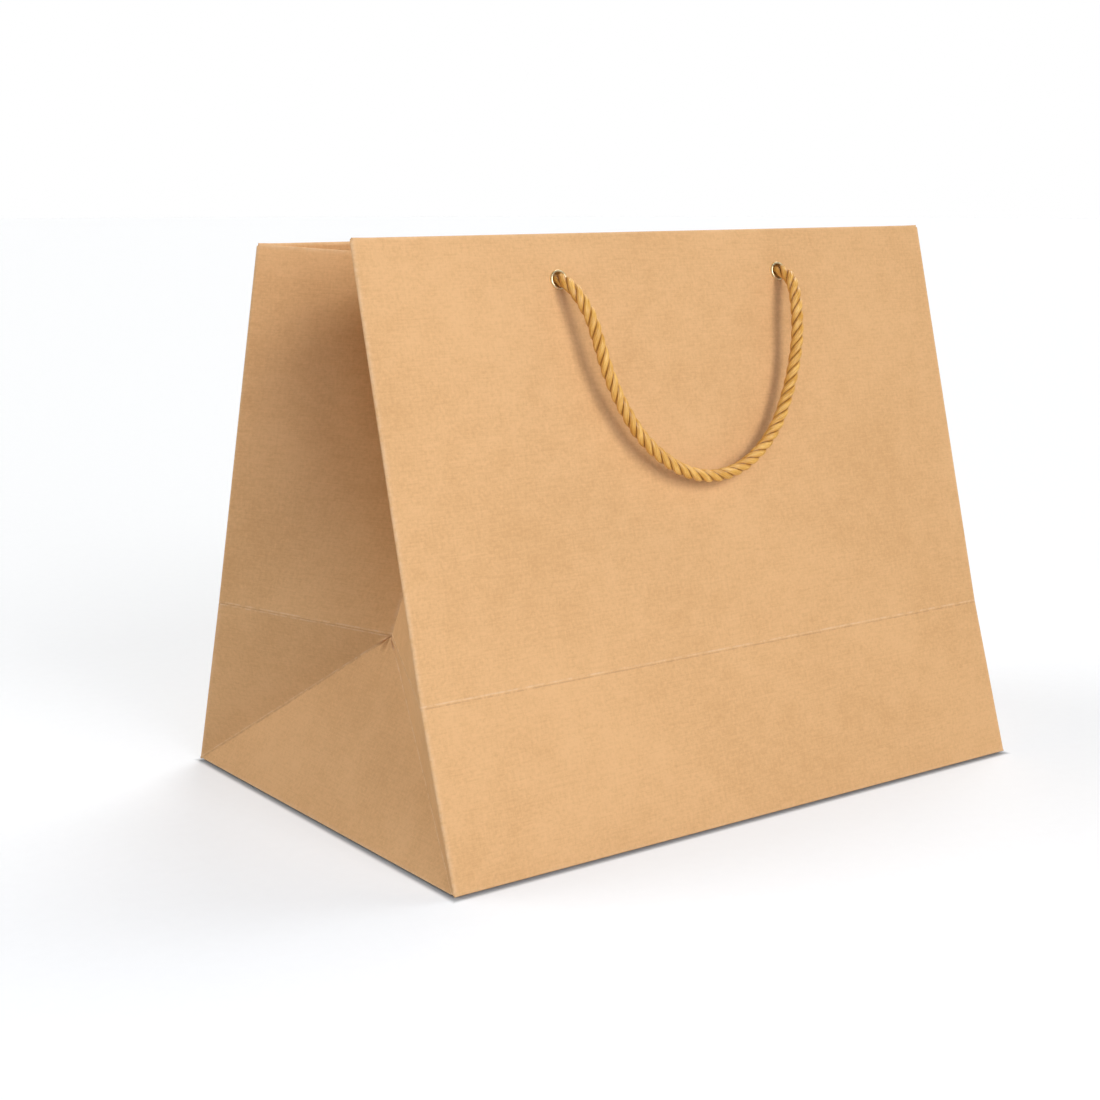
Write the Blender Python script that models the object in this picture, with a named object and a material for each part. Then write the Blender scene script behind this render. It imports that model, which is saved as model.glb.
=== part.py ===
"""Kraft paper gift bag with two twisted rope handles.

The bag stands on its flat bottom. Its front and back walls lean in towards each other, so that
its side gussets fold inwards. Each wall bends at a crease near its foot, and each rope handle
hangs from two brass eyelets and swings about the line through them.

Frame: metres, +Z up, +X along the width of the bag, the front wall towards -Y, and the origin
on the floor at the centre of the bottom.
"""

from math import cos, pi, radians, sin

import bpy
import numpy as np
from mathutils import Euler, Vector

# The paper body
WIDTH = 0.320
DEPTH = 0.222
FRONT_HEIGHT = 0.2605  # along the paper, from the bottom edge to the mouth
BACK_HEIGHT = 0.2575
FRONT_CREASE = 0.0745  # along the paper, from the bottom edge to the crease
BACK_CREASE = 0.0855
FOOT_LEAN = radians(17.4)  # of both walls below their creases
FRONT_LEAN = radians(14.7)  # of the walls above their creases
BACK_LEAN = radians(16.3)
APEX_INSET = 0.041  # how far the gussets' creases meet inside the bag, and how high
APEX_HEIGHT = 0.0765
VALLEY_INSET = 0.096  # how far the gussets' folds reach inside the bag at the mouth
VALLEY_HEIGHT = 0.238
PAPER = 0.0005
GAP = 0.0003  # between layers that lie on each other
CREASE_GAP = 0.0004  # from a panel's edge to the crease it folds at

# The folded bottom
FLAP_OVERLAP = 0.020  # past the middle of the bottom
BASE_BOARD = 0.0012
BASE_MARGIN = 0.0011  # from the bottom's outline to its lowest layer
LAYER_MARGIN = 0.0004  # and as much again for each layer above, because the walls lean in

# The turned-in mouth of each wall
HEM_DEPTH = 0.040
STIFFENER = 0.0010
STIFFENER_DEPTH = 0.036
HEM_END_MARGIN = 0.010  # from the ends of the wall to the hem and its stiffener

# The eyelets
EYELET_SPACING = 0.1252
EYELET_DROP = 0.0200  # from the mouth down to their centres
BARREL_RADIUS = 0.0031  # inside
BARREL_WALL = 0.0004
FLANGE_RADIUS = 0.0046
FLANGE_HEIGHT = 0.0007
WASHER_RADIUS = 0.0050
WASHER = 0.0004
ROLL_RADIUS = 0.0044  # where the barrel's end is rolled over the washer
ROLL_HEIGHT = 0.0006
ROUND_STEPS = 24

# The rope
ROPE_RADIUS = 0.0027
KNOT_RADIUS = 0.0064
KNOT_LENGTH = 0.0110
TAIL_LENGTH = 0.0120
STUB_OUT = 0.0030  # how far the rope's end stands out of the wall
AXIS_OUT = 0.0080  # the line the handle swings about: its distance from the wall
AXIS_DROP = 0.0020  # and how far it lies below the eyelets' centres
# Half a handle as it hangs, from the swing line to its lowest point: how far each point lies
# from the middle, below the eyelets' centres, and out from the wall.
HANDLE_ROUTE = (
    (0.0622, 0.0020, 0.0080),
    (0.0612, 0.0062, 0.0110),
    (0.0600, 0.0120, 0.0129),
    (0.0584, 0.0200, 0.0137),
    (0.0566, 0.0300, 0.0133),
    (0.0541, 0.0400, 0.0125),
    (0.0505, 0.0500, 0.0116),
    (0.0456, 0.0600, 0.0107),
    (0.0385, 0.0700, 0.0100),
    (0.0280, 0.0792, 0.0094),
    (0.0148, 0.0862, 0.0089),
    (0.0, 0.0886, 0.0087),
)
HANDLE_POINTS = 49

# Distances from the folds of the gussets to the edges of their panels
FLAT_MARGIN = 0.0013
VALLEY_MARGIN = 0.0013
CORNER_MARGIN = 0.0034
FOLD_GRID = 8  # faces along each side of a twisted panel

KRAFT = ("kraft_paper", (0.760, 0.510, 0.290, 1.0), 0.85, 0.0)
BOARD = ("grey_board", (0.560, 0.470, 0.360, 1.0), 0.90, 0.0)
BRASS = ("brass", (0.830, 0.640, 0.300, 1.0), 0.28, 1.0)
ROPE = ("gold_rope", (0.720, 0.420, 0.110, 1.0), 0.55, 0.0)


def clear_scene():
    """Remove every object of the scene that the script starts in."""
    for item in list(bpy.data.objects):
        bpy.data.objects.remove(item)


def material(finish):
    """The Principled material of a finish, made on first use."""
    name, colour, roughness, metallic = finish
    found = bpy.data.materials.get(name)
    if found:
        return found
    made = bpy.data.materials.new(name)
    made.use_nodes = True
    shader = made.node_tree.nodes["Principled BSDF"]
    shader.inputs["Base Color"].default_value = colour
    shader.inputs["Roughness"].default_value = roughness
    shader.inputs["Metallic"].default_value = metallic
    return made


def add(name, data, finish, parent=None):
    """Put a mesh or a curve into the scene as the object called name."""
    item = bpy.data.objects.new(name, data)
    bpy.context.collection.objects.link(item)
    data.materials.append(material(finish))
    item.parent = parent
    return item


def add_empty(name, location, rotation=(0.0, 0.0, 0.0), parent=None):
    """An empty that pieces are placed by."""
    item = bpy.data.objects.new(name, None)
    bpy.context.collection.objects.link(item)
    item.location = location
    item.rotation_euler = rotation
    item.parent = parent
    return item


def surface(name, points, faces):
    """A mesh from points and faces."""
    mesh = bpy.data.meshes.new(name)
    mesh.from_pydata([tuple(point) for point in points], [], faces)
    mesh.update()
    return mesh


def sheet(name, corners, thickness, finish, parent=None, offset=-1.0):
    """A flat sheet. Its corners run anticlockwise as seen from outside."""
    mesh = surface(name, corners, [tuple(range(len(corners)))])
    item = add(name, mesh, finish, parent)
    thicken(item, thickness, offset)
    return item


def thicken(item, thickness, offset):
    """Give a surface its thickness: inwards for an offset of -1, half to each side for 0."""
    solidify = item.modifiers.new("thickness", "SOLIDIFY")
    solidify.thickness = thickness
    solidify.offset = offset
    solidify.use_even_offset = True


def inset(corners, margin):
    """A flat convex polygon with each edge moved inwards by a margin."""
    points = [Vector(corner) for corner in corners]
    moved = []
    for before, point, after in zip([points[-1]] + points[:-1], points, points[1:] + points[:1]):
        coming = (point - before).normalized()
        going = (after - point).normalized()
        moved.append(point + margin * (going - coming) / coming.cross(going).length)
    return moved


def smooth(item):
    """Shade a round piece smooth, apart from its sharp edges."""
    item.data.shade_smooth()
    item.data.set_sharp_from_angle(angle=radians(40))


def turned(name, profile, finish, parent):
    """A ring: a closed profile of (radius, distance along local Y) turned about local Y."""
    turns = np.arange(ROUND_STEPS) * 2 * pi / ROUND_STEPS
    outline = np.array(profile)
    radius, along = outline[:, 0], outline[:, 1]
    points = np.stack(
        (
            np.outer(np.cos(turns), radius),
            np.broadcast_to(along, (ROUND_STEPS, len(along))),
            np.outer(np.sin(turns), radius),
        ),
        axis=-1,
    ).reshape(-1, 3)
    count = len(outline)
    faces = []
    for turn in range(ROUND_STEPS):
        here, there = turn * count, (turn + 1) % ROUND_STEPS * count
        for step in range(count):
            onward = (step + 1) % count
            faces.append((here + step, there + step, there + onward, here + onward))
    item = add(name, surface(name, points, faces), finish, parent)
    smooth(item)
    return item


def tube(name, points, radii, finish, parent, resolution=3):
    """A round rope through the given points, with a radius at each."""
    curve = bpy.data.curves.new(name, "CURVE")
    curve.dimensions = "3D"
    curve.bevel_depth = 1.0
    curve.bevel_resolution = resolution
    curve.use_fill_caps = True
    spline = curve.splines.new("POLY")
    spline.points.add(len(points) - 1)
    for knot, point, radius in zip(spline.points, points, radii):
        knot.co = (*point, 1.0)
        knot.radius = radius
    return add(name, curve, finish, parent)


def smooth_route(points, count):
    """Evenly spaced points on a smooth curve through a route's own points (Catmull-Rom)."""
    knots = np.array(points)
    padded = np.vstack((2 * knots[0] - knots[1], knots, 2 * knots[-1] - knots[-2]))
    fine = []
    steps = np.linspace(0.0, 1.0, 24, endpoint=False)[:, None]
    for a, b, c, d in zip(padded, padded[1:], padded[2:], padded[3:]):
        fine.append(
            0.5
            * (
                2 * b
                + (c - a) * steps
                + (2 * a - 5 * b + 4 * c - d) * steps**2
                + (3 * b - a - 3 * c + d) * steps**3
            )
        )
    fine = np.vstack(fine + [knots[-1:]])
    length = np.concatenate(([0.0], np.cumsum(np.linalg.norm(np.diff(fine, axis=0), axis=1))))
    places = np.linspace(0.0, length[-1], count)
    return np.stack([np.interp(places, length, fine[:, axis]) for axis in range(3)], axis=-1)


def wall_point(crease, lean, up):
    """(y, z) of a point of the front wall, a distance up the paper from its bottom edge."""
    below, above = min(up, crease), max(up - crease, 0.0)
    return (
        -DEPTH / 2 + below * sin(FOOT_LEAN) + above * sin(lean),
        below * cos(FOOT_LEAN) + above * cos(lean),
    )


FRONT_FOOT = wall_point(FRONT_CREASE, FRONT_LEAN, FRONT_CREASE)
FRONT_MOUTH = wall_point(FRONT_CREASE, FRONT_LEAN, FRONT_HEIGHT)
BACK_FOOT = wall_point(BACK_CREASE, BACK_LEAN, BACK_CREASE)
BACK_MOUTH = wall_point(BACK_CREASE, BACK_LEAN, BACK_HEIGHT)


def bottom_flap(name, layer, corners):
    """A paper flap of the folded bottom, lying on the layers below it."""
    height = layer * (PAPER + GAP)
    sheet(name, [(x, y, height + PAPER) for x, y in corners], PAPER, KRAFT)


def build_bottom():
    """The four folded flaps and the loose board that lies on them."""
    half_width = WIDTH / 2 - BASE_MARGIN
    half_depth = DEPTH / 2 - BASE_MARGIN
    for layer, (name, side) in enumerate((("bottom_front_flap", -1), ("bottom_back_flap", 1))):
        wide = half_width - layer * LAYER_MARGIN
        edge = half_depth - layer * LAYER_MARGIN
        narrow = wide - (edge + FLAP_OVERLAP)
        corners = [(-wide, -edge), (wide, -edge), (narrow, FLAP_OVERLAP), (-narrow, FLAP_OVERLAP)]
        if side > 0:
            corners = [(-x, -y) for x, y in corners]
        bottom_flap(name, layer, corners)
    wide, edge = half_width - 2 * LAYER_MARGIN, half_depth - 2 * LAYER_MARGIN
    for name, side in (("bottom_left_flap", -1), ("bottom_right_flap", 1)):
        corners = [(side * wide, -side * edge), (side * wide, side * edge)]
        bottom_flap(name, 2, corners + [(side * (wide - edge), 0.0)])
    wide, edge = half_width - 5 * LAYER_MARGIN, half_depth - 4 * LAYER_MARGIN
    top = 3 * (PAPER + GAP) + BASE_BOARD
    corners = [(-wide, -edge, top), (wide, -edge, top), (wide, edge, top), (-wide, edge, top)]
    sheet("bottom_board", corners, BASE_BOARD, BOARD)


def build_lower_panels():
    """The parts of the two walls below their creases, which stand with the bottom."""
    for name, foot, crease, side in (
        ("front_lower_panel", FRONT_FOOT, FRONT_CREASE, 1),
        ("back_lower_panel", BACK_FOOT, BACK_CREASE, -1),
    ):
        y, z = foot
        low = Vector((-side * WIDTH / 2, side * -DEPTH / 2, 0.0))
        high = Vector((-side * WIDTH / 2, side * y, z))
        across = Vector((side * WIDTH, 0.0, 0.0))
        rise = (high - low) / crease
        start, stop = low + rise * 1.5 * CREASE_GAP, high - rise * CREASE_GAP
        sheet(name, [start, start + across, stop + across, stop], PAPER, KRAFT)


def twisted_panel(name, corners, mirror):
    """A gusset panel between four corners that don't lie in one plane.

    The corners are the crease's outer end, its inner end, the valley's top and the mouth's
    corner, and the surface joins them in straight lines both ways.
    """
    outer, inner, valley, mouth = (np.array(corner) for corner in corners)
    low = np.linalg.norm(inner - outer)
    high = np.linalg.norm(valley - mouth)
    rise = np.linalg.norm(mouth - outer)
    up = np.linspace(FLAT_MARGIN / rise, 1.0, FOLD_GRID + 1)[:, None, None]
    across = np.linspace(0.0, 1.0, FOLD_GRID + 1)[None, :, None]
    span = low + (high - low) * up
    first, last = CORNER_MARGIN / span, 1.0 - VALLEY_MARGIN / span
    along = first + (last - first) * across
    points = (1 - up) * ((1 - along) * outer + along * inner) + up * (
        (1 - along) * mouth + along * valley
    )
    points = points.reshape(-1, 3)
    row = FOLD_GRID + 1
    faces = []
    for i in range(FOLD_GRID):
        for j in range(FOLD_GRID):
            face = (i * row + j, i * row + j + 1, (i + 1) * row + j + 1, (i + 1) * row + j)
            faces.append(face[::-1] if mirror else face)
    item = add(name, surface(name, points, faces), KRAFT)
    thicken(item, PAPER, 0.0)


def build_gusset(name, side):
    """One side of the bag: its bottom triangle, two corner triangles and two folded panels."""
    x = side * WIDTH / 2
    apex = (x - side * APEX_INSET, 0.0, APEX_HEIGHT)
    valley = (x - side * VALLEY_INSET, (FRONT_MOUTH[0] - BACK_MOUTH[0]) / 2, VALLEY_HEIGHT)
    front_corner, back_corner = (x, -DEPTH / 2, 0.0), (x, DEPTH / 2, 0.0)
    front_foot, back_foot = (x, *FRONT_FOOT), (x, -BACK_FOOT[0], BACK_FOOT[1])
    front_mouth, back_mouth = (x, *FRONT_MOUTH), (x, -BACK_MOUTH[0], BACK_MOUTH[1])
    for label, corners in (
        ("base", (back_corner, front_corner, apex)),
        ("front_corner", (front_corner, front_foot, apex)),
        ("back_corner", (back_foot, back_corner, apex)),
    ):
        outline = corners if side < 0 else corners[::-1]
        sheet(f"{name}_gusset_{label}", inset(outline, FLAT_MARGIN), PAPER, KRAFT, offset=0.0)
    twisted_panel(
        f"{name}_gusset_front_fold", (front_foot, apex, valley, front_mouth), side < 0
    )
    twisted_panel(f"{name}_gusset_back_fold", (back_foot, apex, valley, back_mouth), side > 0)


def eyelet_profile(stack):
    """The eyelet's section: a flange outside, a barrel, and a roll behind the washer.

    Distances run along local Y, into the bag, from the wall's outer face.
    """
    inside, outside = BARREL_RADIUS, BARREL_RADIUS + BARREL_WALL
    roll = stack + WASHER + 2 * GAP
    return (
        (inside, -GAP - 0.4 * FLANGE_HEIGHT),
        (inside, roll + 0.4 * ROLL_HEIGHT),
        (inside + 0.3 * BARREL_WALL, roll + ROLL_HEIGHT),
        (ROLL_RADIUS - 0.3 * BARREL_WALL, roll + ROLL_HEIGHT),
        (ROLL_RADIUS, roll + 0.5 * ROLL_HEIGHT),
        (ROLL_RADIUS - 0.3 * BARREL_WALL, roll),
        (outside, roll),
        (outside, -GAP),
        (FLANGE_RADIUS, -GAP),
        (FLANGE_RADIUS - 0.2 * FLANGE_HEIGHT, -GAP - 0.7 * FLANGE_HEIGHT),
        (FLANGE_RADIUS - 1.2 * FLANGE_HEIGHT, -GAP - FLANGE_HEIGHT),
        (inside + 0.8 * BARREL_WALL, -GAP - FLANGE_HEIGHT),
    )


def build_eyelet(name, x, height, stack, wall):
    """An eyelet, its washer, and the rope's knotted end that passes through both."""
    barrel = BARREL_RADIUS + BARREL_WALL + GAP
    near = stack + GAP
    far = near + WASHER
    washer = ((barrel, near), (barrel, far), (WASHER_RADIUS, far), (WASHER_RADIUS, near))
    for label, profile in (("eyelet", eyelet_profile(stack)), ("washer", washer)):
        item = turned(f"{name}_{label}", profile, BRASS, wall)
        item.location = (x, 0.0, height)
    behind = stack + WASHER + 2 * GAP + ROLL_HEIGHT + GAP
    bulge = np.linspace(0.0, pi, 9)
    lump = behind + KNOT_LENGTH * (1 - np.cos(bulge)) / 2
    thick = np.maximum(KNOT_RADIUS * np.sin(bulge) ** 0.6, ROPE_RADIUS)
    turn = np.linspace(0.0, pi / 2, 5)[1:]
    bend = 2.2 * ROPE_RADIUS
    route = [(0.0, -STUB_OUT, 0.0), (0.0, behind - 0.001, 0.0)]
    route += [(0.0, y, 0.0) for y in lump]
    route += [(0.0, lump[-1] + bend * sin(a), -bend * (1 - cos(a))) for a in turn]
    route += [(0.0, route[-1][1], route[-1][2] - TAIL_LENGTH)]
    radii = [ROPE_RADIUS] * 2 + list(thick) + [ROPE_RADIUS] * (len(turn) + 1)
    knot = tube(f"{name}_knot", route, radii, ROPE, wall)
    knot.location = (x, 0.0, height)


def build_handle(name, height, wall):
    """A rope handle, placed by an empty on the line that it swings about."""
    axis = add_empty(f"{name}_handle_axis", (0.0, -AXIS_OUT, height - AXIS_DROP), parent=wall)
    half = [(x, AXIS_OUT - out, AXIS_DROP - drop) for x, drop, out in HANDLE_ROUTE]
    route = smooth_route(half + [(-x, y, z) for x, y, z in half[-2::-1]], HANDLE_POINTS)
    # The ends are rounded about the swing line, so that they turn in place.
    steps = np.array((0.98, 0.8, 0.5))
    first = (route[1] - route[0]) / np.linalg.norm(route[1] - route[0])
    last = (route[-2] - route[-1]) / np.linalg.norm(route[-2] - route[-1])
    head = route[0] - first * ROPE_RADIUS * steps[:, None]
    tail = route[-1] - last * ROPE_RADIUS * steps[::-1, None]
    ends = ROPE_RADIUS * np.sqrt(1 - steps**2)
    radii = np.concatenate((ends, np.full(len(route), ROPE_RADIUS), ends[::-1]))
    tube(f"{name}_handle", np.vstack((head, route, tail)), radii, ROPE, axis)


def cut_holes(item, cutters):
    """Cut the eyelets' holes through a sheet."""
    for cutter in cutters:
        hole = item.modifiers.new("hole", "BOOLEAN")
        hole.operation = "DIFFERENCE"
        hole.object = cutter
        hole.solver = "EXACT"


def hole_cutter(name, x, height, wall):
    """A round cutter along local Y at an eyelet's place."""
    radius, reach = BARREL_RADIUS + BARREL_WALL + GAP, 0.006
    turns = np.arange(ROUND_STEPS) * 2 * pi / ROUND_STEPS
    rim = [(radius * cos(a), -reach, radius * sin(a)) for a in turns]
    points = rim + [(px, reach, pz) for px, _, pz in rim]
    faces = [
        (i, ROUND_STEPS + i, ROUND_STEPS + (i + 1) % ROUND_STEPS, (i + 1) % ROUND_STEPS)
        for i in range(ROUND_STEPS)
    ]
    faces.append(tuple(range(ROUND_STEPS)))
    faces.append(tuple(reversed(range(ROUND_STEPS, 2 * ROUND_STEPS))))
    cutter = add(name, surface(name, points, faces), KRAFT, wall)
    cutter.location = (x, 0.0, height)
    cutter.hide_render = True
    cutter.display_type = "WIRE"
    return cutter


def build_wall(name, foot, crease, length, lean, turn):
    """A wall above its crease, with everything that moves with it.

    It is built in its own frame: X along the crease, Y into the bag, Z up the wall. An empty on
    the crease places it, and turn is half a turn about Z for the back wall.
    """
    y, z = foot if turn == 0.0 else (-foot[0], foot[1])
    wall = add_empty(f"{name}_wall_axis", (0.0, y, z), Euler((-lean, 0.0, turn)))
    rise = length - crease
    height = rise - EYELET_DROP
    cutters = [
        hole_cutter(f"{name}_hole_cutter_{number}", x, height, wall)
        for number, x in enumerate((-EYELET_SPACING / 2, EYELET_SPACING / 2))
    ]
    layers = (
        ("panel", WIDTH / 2, CREASE_GAP, rise, 0.0, PAPER, KRAFT),
        (
            "stiffener",
            WIDTH / 2 - HEM_END_MARGIN,
            rise - GAP - STIFFENER_DEPTH,
            rise - GAP,
            PAPER + GAP,
            STIFFENER,
            BOARD,
        ),
        (
            "hem",
            WIDTH / 2 - HEM_END_MARGIN,
            rise - HEM_DEPTH,
            rise,
            PAPER + STIFFENER + 2 * GAP,
            PAPER,
            KRAFT,
        ),
    )
    for label, half, low, high, inwards, thickness, finish in layers:
        corners = [
            (-half, inwards, low),
            (half, inwards, low),
            (half, inwards, high),
            (-half, inwards, high),
        ]
        cut_holes(sheet(f"{name}_{label}", corners, thickness, finish, wall), cutters)
    stack = 2 * PAPER + STIFFENER + 2 * GAP
    facing = 1 if turn == 0.0 else -1
    for label, side in (("left", -1), ("right", 1)):
        build_eyelet(f"{name}_{label}", side * facing * EYELET_SPACING / 2, height, stack, wall)
    build_handle(name, height, wall)


def main():
    """Build the whole bag."""
    clear_scene()
    build_bottom()
    build_lower_panels()
    build_gusset("left", -1)
    build_gusset("right", 1)
    build_wall("front", FRONT_FOOT, FRONT_CREASE, FRONT_HEIGHT, FRONT_LEAN, 0.0)
    build_wall("back", BACK_FOOT, BACK_CREASE, BACK_HEIGHT, BACK_LEAN, pi)


main()
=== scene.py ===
"""Finished surfaces of a kraft paper gift bag with two twisted rope handles.

The paper is one folded sheet: two walls that lean in, a folded gusset at each side, a turned-in
mouth and a folded bottom. It is made here as separate pieces of the walls, the gussets and the
bottom, with rounded folds, scored creases and eyelet holes; the bottom's pieces are attached to
the bottom's body, and each wall's eyelets and knots to that wall's body. Each handle is a
three-strand satin rope that passes through two brass eyelets and ends in knots inside the bag.

Frame: metres, +Z up, +X along the width of the bag, and the front wall towards -Y.
"""

import logging
from dataclasses import dataclass, field
from enum import Enum
from math import pi, radians

import bmesh
import bpy
import numpy as np
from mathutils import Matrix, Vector


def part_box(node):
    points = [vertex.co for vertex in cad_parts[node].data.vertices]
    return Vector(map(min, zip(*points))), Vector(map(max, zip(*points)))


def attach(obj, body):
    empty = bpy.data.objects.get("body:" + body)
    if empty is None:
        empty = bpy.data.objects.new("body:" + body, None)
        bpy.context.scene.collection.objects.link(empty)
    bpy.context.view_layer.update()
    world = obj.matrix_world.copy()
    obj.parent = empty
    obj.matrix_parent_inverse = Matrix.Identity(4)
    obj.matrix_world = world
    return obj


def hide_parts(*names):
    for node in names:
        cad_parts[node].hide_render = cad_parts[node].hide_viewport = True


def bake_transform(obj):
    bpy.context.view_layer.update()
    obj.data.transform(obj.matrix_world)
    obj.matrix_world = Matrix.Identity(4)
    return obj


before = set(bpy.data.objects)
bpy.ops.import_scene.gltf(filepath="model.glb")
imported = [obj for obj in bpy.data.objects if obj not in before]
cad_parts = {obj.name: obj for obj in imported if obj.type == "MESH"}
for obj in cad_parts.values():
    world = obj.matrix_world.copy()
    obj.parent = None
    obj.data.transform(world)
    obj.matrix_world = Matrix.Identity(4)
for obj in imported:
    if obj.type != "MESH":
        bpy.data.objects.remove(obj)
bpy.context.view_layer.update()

LOG = logging.getLogger("gift_bag")
Array = np.ndarray
Colour = tuple[float, float, float, float]
PLAIN = (1.0, 1.0, 1.0)


class Wall(Enum):
    """The two walls: the name and the turn about the vertical that brings the front one there."""

    FRONT = ("front", 0.0)
    BACK = ("back", pi)

    @property
    def label(self) -> str:
        """The wall's name."""
        return self.value[0]

    @property
    def turn(self) -> float:
        """The wall's turn about the vertical."""
        return self.value[1]

    @property
    def body(self) -> str:
        """The name of the body for the wall above its crease, which the wall's eyelets and knots are
        attached to.
        """
        return f"{self.label}_wall"


class End(Enum):
    """The two ends of the bag, by the sign of X."""

    LEFT = -1
    RIGHT = 1

    @property
    def label(self) -> str:
        """The end's name."""
        return self.name.lower()


# ---------------------------------------------------------------- grids and meshes


def smooth_step(t: Array) -> Array:
    """3 t^2 - 2 t^3 of t held between 0 and 1."""
    t = np.clip(t, 0.0, 1.0)
    return t * t * (3 - 2 * t)


def unit(vectors: Array) -> Array:
    """Each vector divided by its length."""
    return vectors / np.maximum(np.linalg.norm(vectors, axis=-1, keepdims=True), 1e-12)


def grid_faces(rows: int, columns: int) -> Array:
    """The quads of a grid whose points are numbered row by row.

    Args:
        rows: How many rows of points.
        columns: How many points in a row.

    Returns:
        One quad a line, turning from the row's direction to the next row's.
    """
    first = (np.arange(rows - 1)[:, None] * columns + np.arange(columns - 1)).reshape(-1, 1)
    return first + np.array([0, 1, columns + 1, columns])


def grid_normals(points: Array) -> Array:
    """Unit normals of a grid: the cross product of its slopes along a row and up a column.

    Args:
        points: The grid, rows by columns by 3.

    Returns:
        A normal for each point, on the side that grid_faces face.
    """
    return unit(np.cross(np.gradient(points, axis=1), np.gradient(points, axis=0)))


def thicken(points: Array, faces: Array, normals: Array, thickness: float) -> tuple[Array, Array]:
    """A closed sheet: the outer face, the same face moved back along its normals, and a rim.

    Args:
        points: The outer face's points.
        faces: Its quads, facing outwards.
        normals: Its outward unit normals.
        thickness: How far behind it the inner face lies.

    Returns:
        The points and quads of the closed sheet.
    """
    count = len(points)
    edges = np.stack((faces, np.roll(faces, -1, axis=1)), axis=-1).reshape(-1, 2)
    keys = edges[:, 0] * count + edges[:, 1]
    free = edges[~np.isin(edges[:, 1] * count + edges[:, 0], keys)]
    rim = np.column_stack((free[:, 1], free[:, 0], free[:, 0] + count, free[:, 1] + count))
    both = np.vstack((points, points - normals * thickness))
    return both, np.vstack((faces, faces[:, ::-1] + count, rim))


def make_piece(
    name: str,
    points: Array,
    faces: Array,
    uv: Array,
    material: bpy.types.Material,
    marks: dict[str, Array] | None = None,
    sharp: float = 50.0,
) -> bpy.types.Object:
    """Put a mesh into the scene, with its UV map and its own attributes.

    Args:
        name: The piece's name.
        points: Its points, in the row frame.
        faces: Its quads.
        uv: A point of the UV map for each of its points, in metres.
        material: Its finish.
        marks: Values for each point that the finish reads, by attribute name.
        sharp: The angle in degrees above which an edge stays sharp.

    Returns:
        The piece's object.
    """
    used = np.unique(faces)
    renumber = np.zeros(len(points), dtype=int)
    renumber[used] = np.arange(len(used))
    points, uv, faces = points[used], uv[used], renumber[faces]
    mesh = bpy.data.meshes.new(name)
    mesh.from_pydata(points.tolist(), [], faces.tolist())
    corners = np.zeros(len(mesh.loops), dtype=np.int32)
    mesh.loops.foreach_get("vertex_index", corners)
    layer = mesh.uv_layers.new(name="surface")
    layer.data.foreach_set("uv", uv[corners].astype(np.float32).ravel())
    for label, values in (marks or {}).items():
        attribute = mesh.attributes.new(label, "FLOAT", "POINT")
        attribute.data.foreach_set("value", values.ravel()[used].astype(np.float32))
    mesh.validate()
    mesh.shade_smooth()
    mesh.set_sharp_from_angle(angle=radians(sharp))
    mesh.materials.append(material)
    piece = bpy.data.objects.new(name, mesh)
    bpy.context.collection.objects.link(piece)
    LOG.info("%s: %d points, %d faces", name, len(points), len(faces))
    return piece


def sheet_piece(
    name: str,
    grid: Array,
    uv: Array,
    thickness: float,
    material: bpy.types.Material,
    marks: dict[str, Array] | None = None,
    keep: Array | None = None,
    flip: bool = False,
) -> bpy.types.Object:
    """A sheet with a thickness from the grid of its outer face.

    Args:
        name: The piece's name.
        grid: The outer face, rows by columns by 3.
        uv: The UV map, rows by columns by 2, in metres.
        thickness: The sheet's thickness.
        material: Its finish.
        marks: Grids of values that the finish reads, by attribute name.
        keep: Which quads stay, in the order of grid_faces.
        flip: Whether the grid's own faces point inwards.

    Returns:
        The piece's object.
    """
    if flip:
        grid, uv = grid[:, ::-1], uv[:, ::-1]
        marks = {label: values[:, ::-1] for label, values in (marks or {}).items()}
    faces = grid_faces(*grid.shape[:2])
    if keep is not None:
        faces = faces[keep]
    normals = grid_normals(grid).reshape(-1, 3)
    points, quads = thicken(grid.reshape(-1, 3), faces, normals, thickness)
    flat = uv.reshape(-1, 2)
    doubled = {label: np.tile(values.ravel(), 2) for label, values in (marks or {}).items()}
    return make_piece(name, points, quads, np.vstack((flat, flat)), material, doubled)


def closed_mesh(piece: bpy.types.Object, distance: float = 1e-6) -> bpy.types.Object:
    """Merge a piece's doubled points, so that its seams and poles are closed.

    Args:
        piece: The piece.
        distance: How near two points lie that are one.

    Returns:
        The same piece.
    """
    work = bmesh.new()
    work.from_mesh(piece.data)
    bmesh.ops.remove_doubles(work, verts=work.verts, dist=distance)
    bmesh.ops.dissolve_degenerate(work, edges=work.edges, dist=distance)
    work.to_mesh(piece.data)
    work.free()
    return piece


def smooth_route(points: Array, count: int) -> Array:
    """Evenly spaced points on a smooth curve through a route's own points (Catmull-Rom).

    Args:
        points: The route's points.
        count: How many points to return.

    Returns:
        The points, one a line.
    """
    knots = np.asarray(points, float)
    padded = np.vstack((2 * knots[0] - knots[1], knots, 2 * knots[-1] - knots[-2]))
    steps = np.linspace(0.0, 1.0, 24, endpoint=False)[None, :, None]
    a, b, c, d = (padded[i : len(padded) - 3 + i, None, :] for i in range(4))
    fine = 0.5 * (
        2 * b
        + (c - a) * steps
        + (2 * a - 5 * b + 4 * c - d) * steps**2
        + (3 * b - a - 3 * c + d) * steps**3
    )
    return evenly(np.vstack((fine.reshape(-1, 3), knots[-1:])), count)


def path_length(points: Array) -> Array:
    """The distance along a path to each of its points."""
    steps = np.linalg.norm(np.diff(points, axis=0), axis=1)
    return np.concatenate(([0.0], np.cumsum(steps)))


def evenly(points: Array, count: int) -> Array:
    """Points at equal distances along a path.

    Args:
        points: The path's points.
        count: How many points to return.

    Returns:
        The points, one a line.
    """
    length = path_length(points)
    places = np.linspace(0.0, length[-1], count)
    return np.stack([np.interp(places, length, points[:, axis]) for axis in range(3)], axis=-1)


# ---------------------------------------------------------------- finishes


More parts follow.
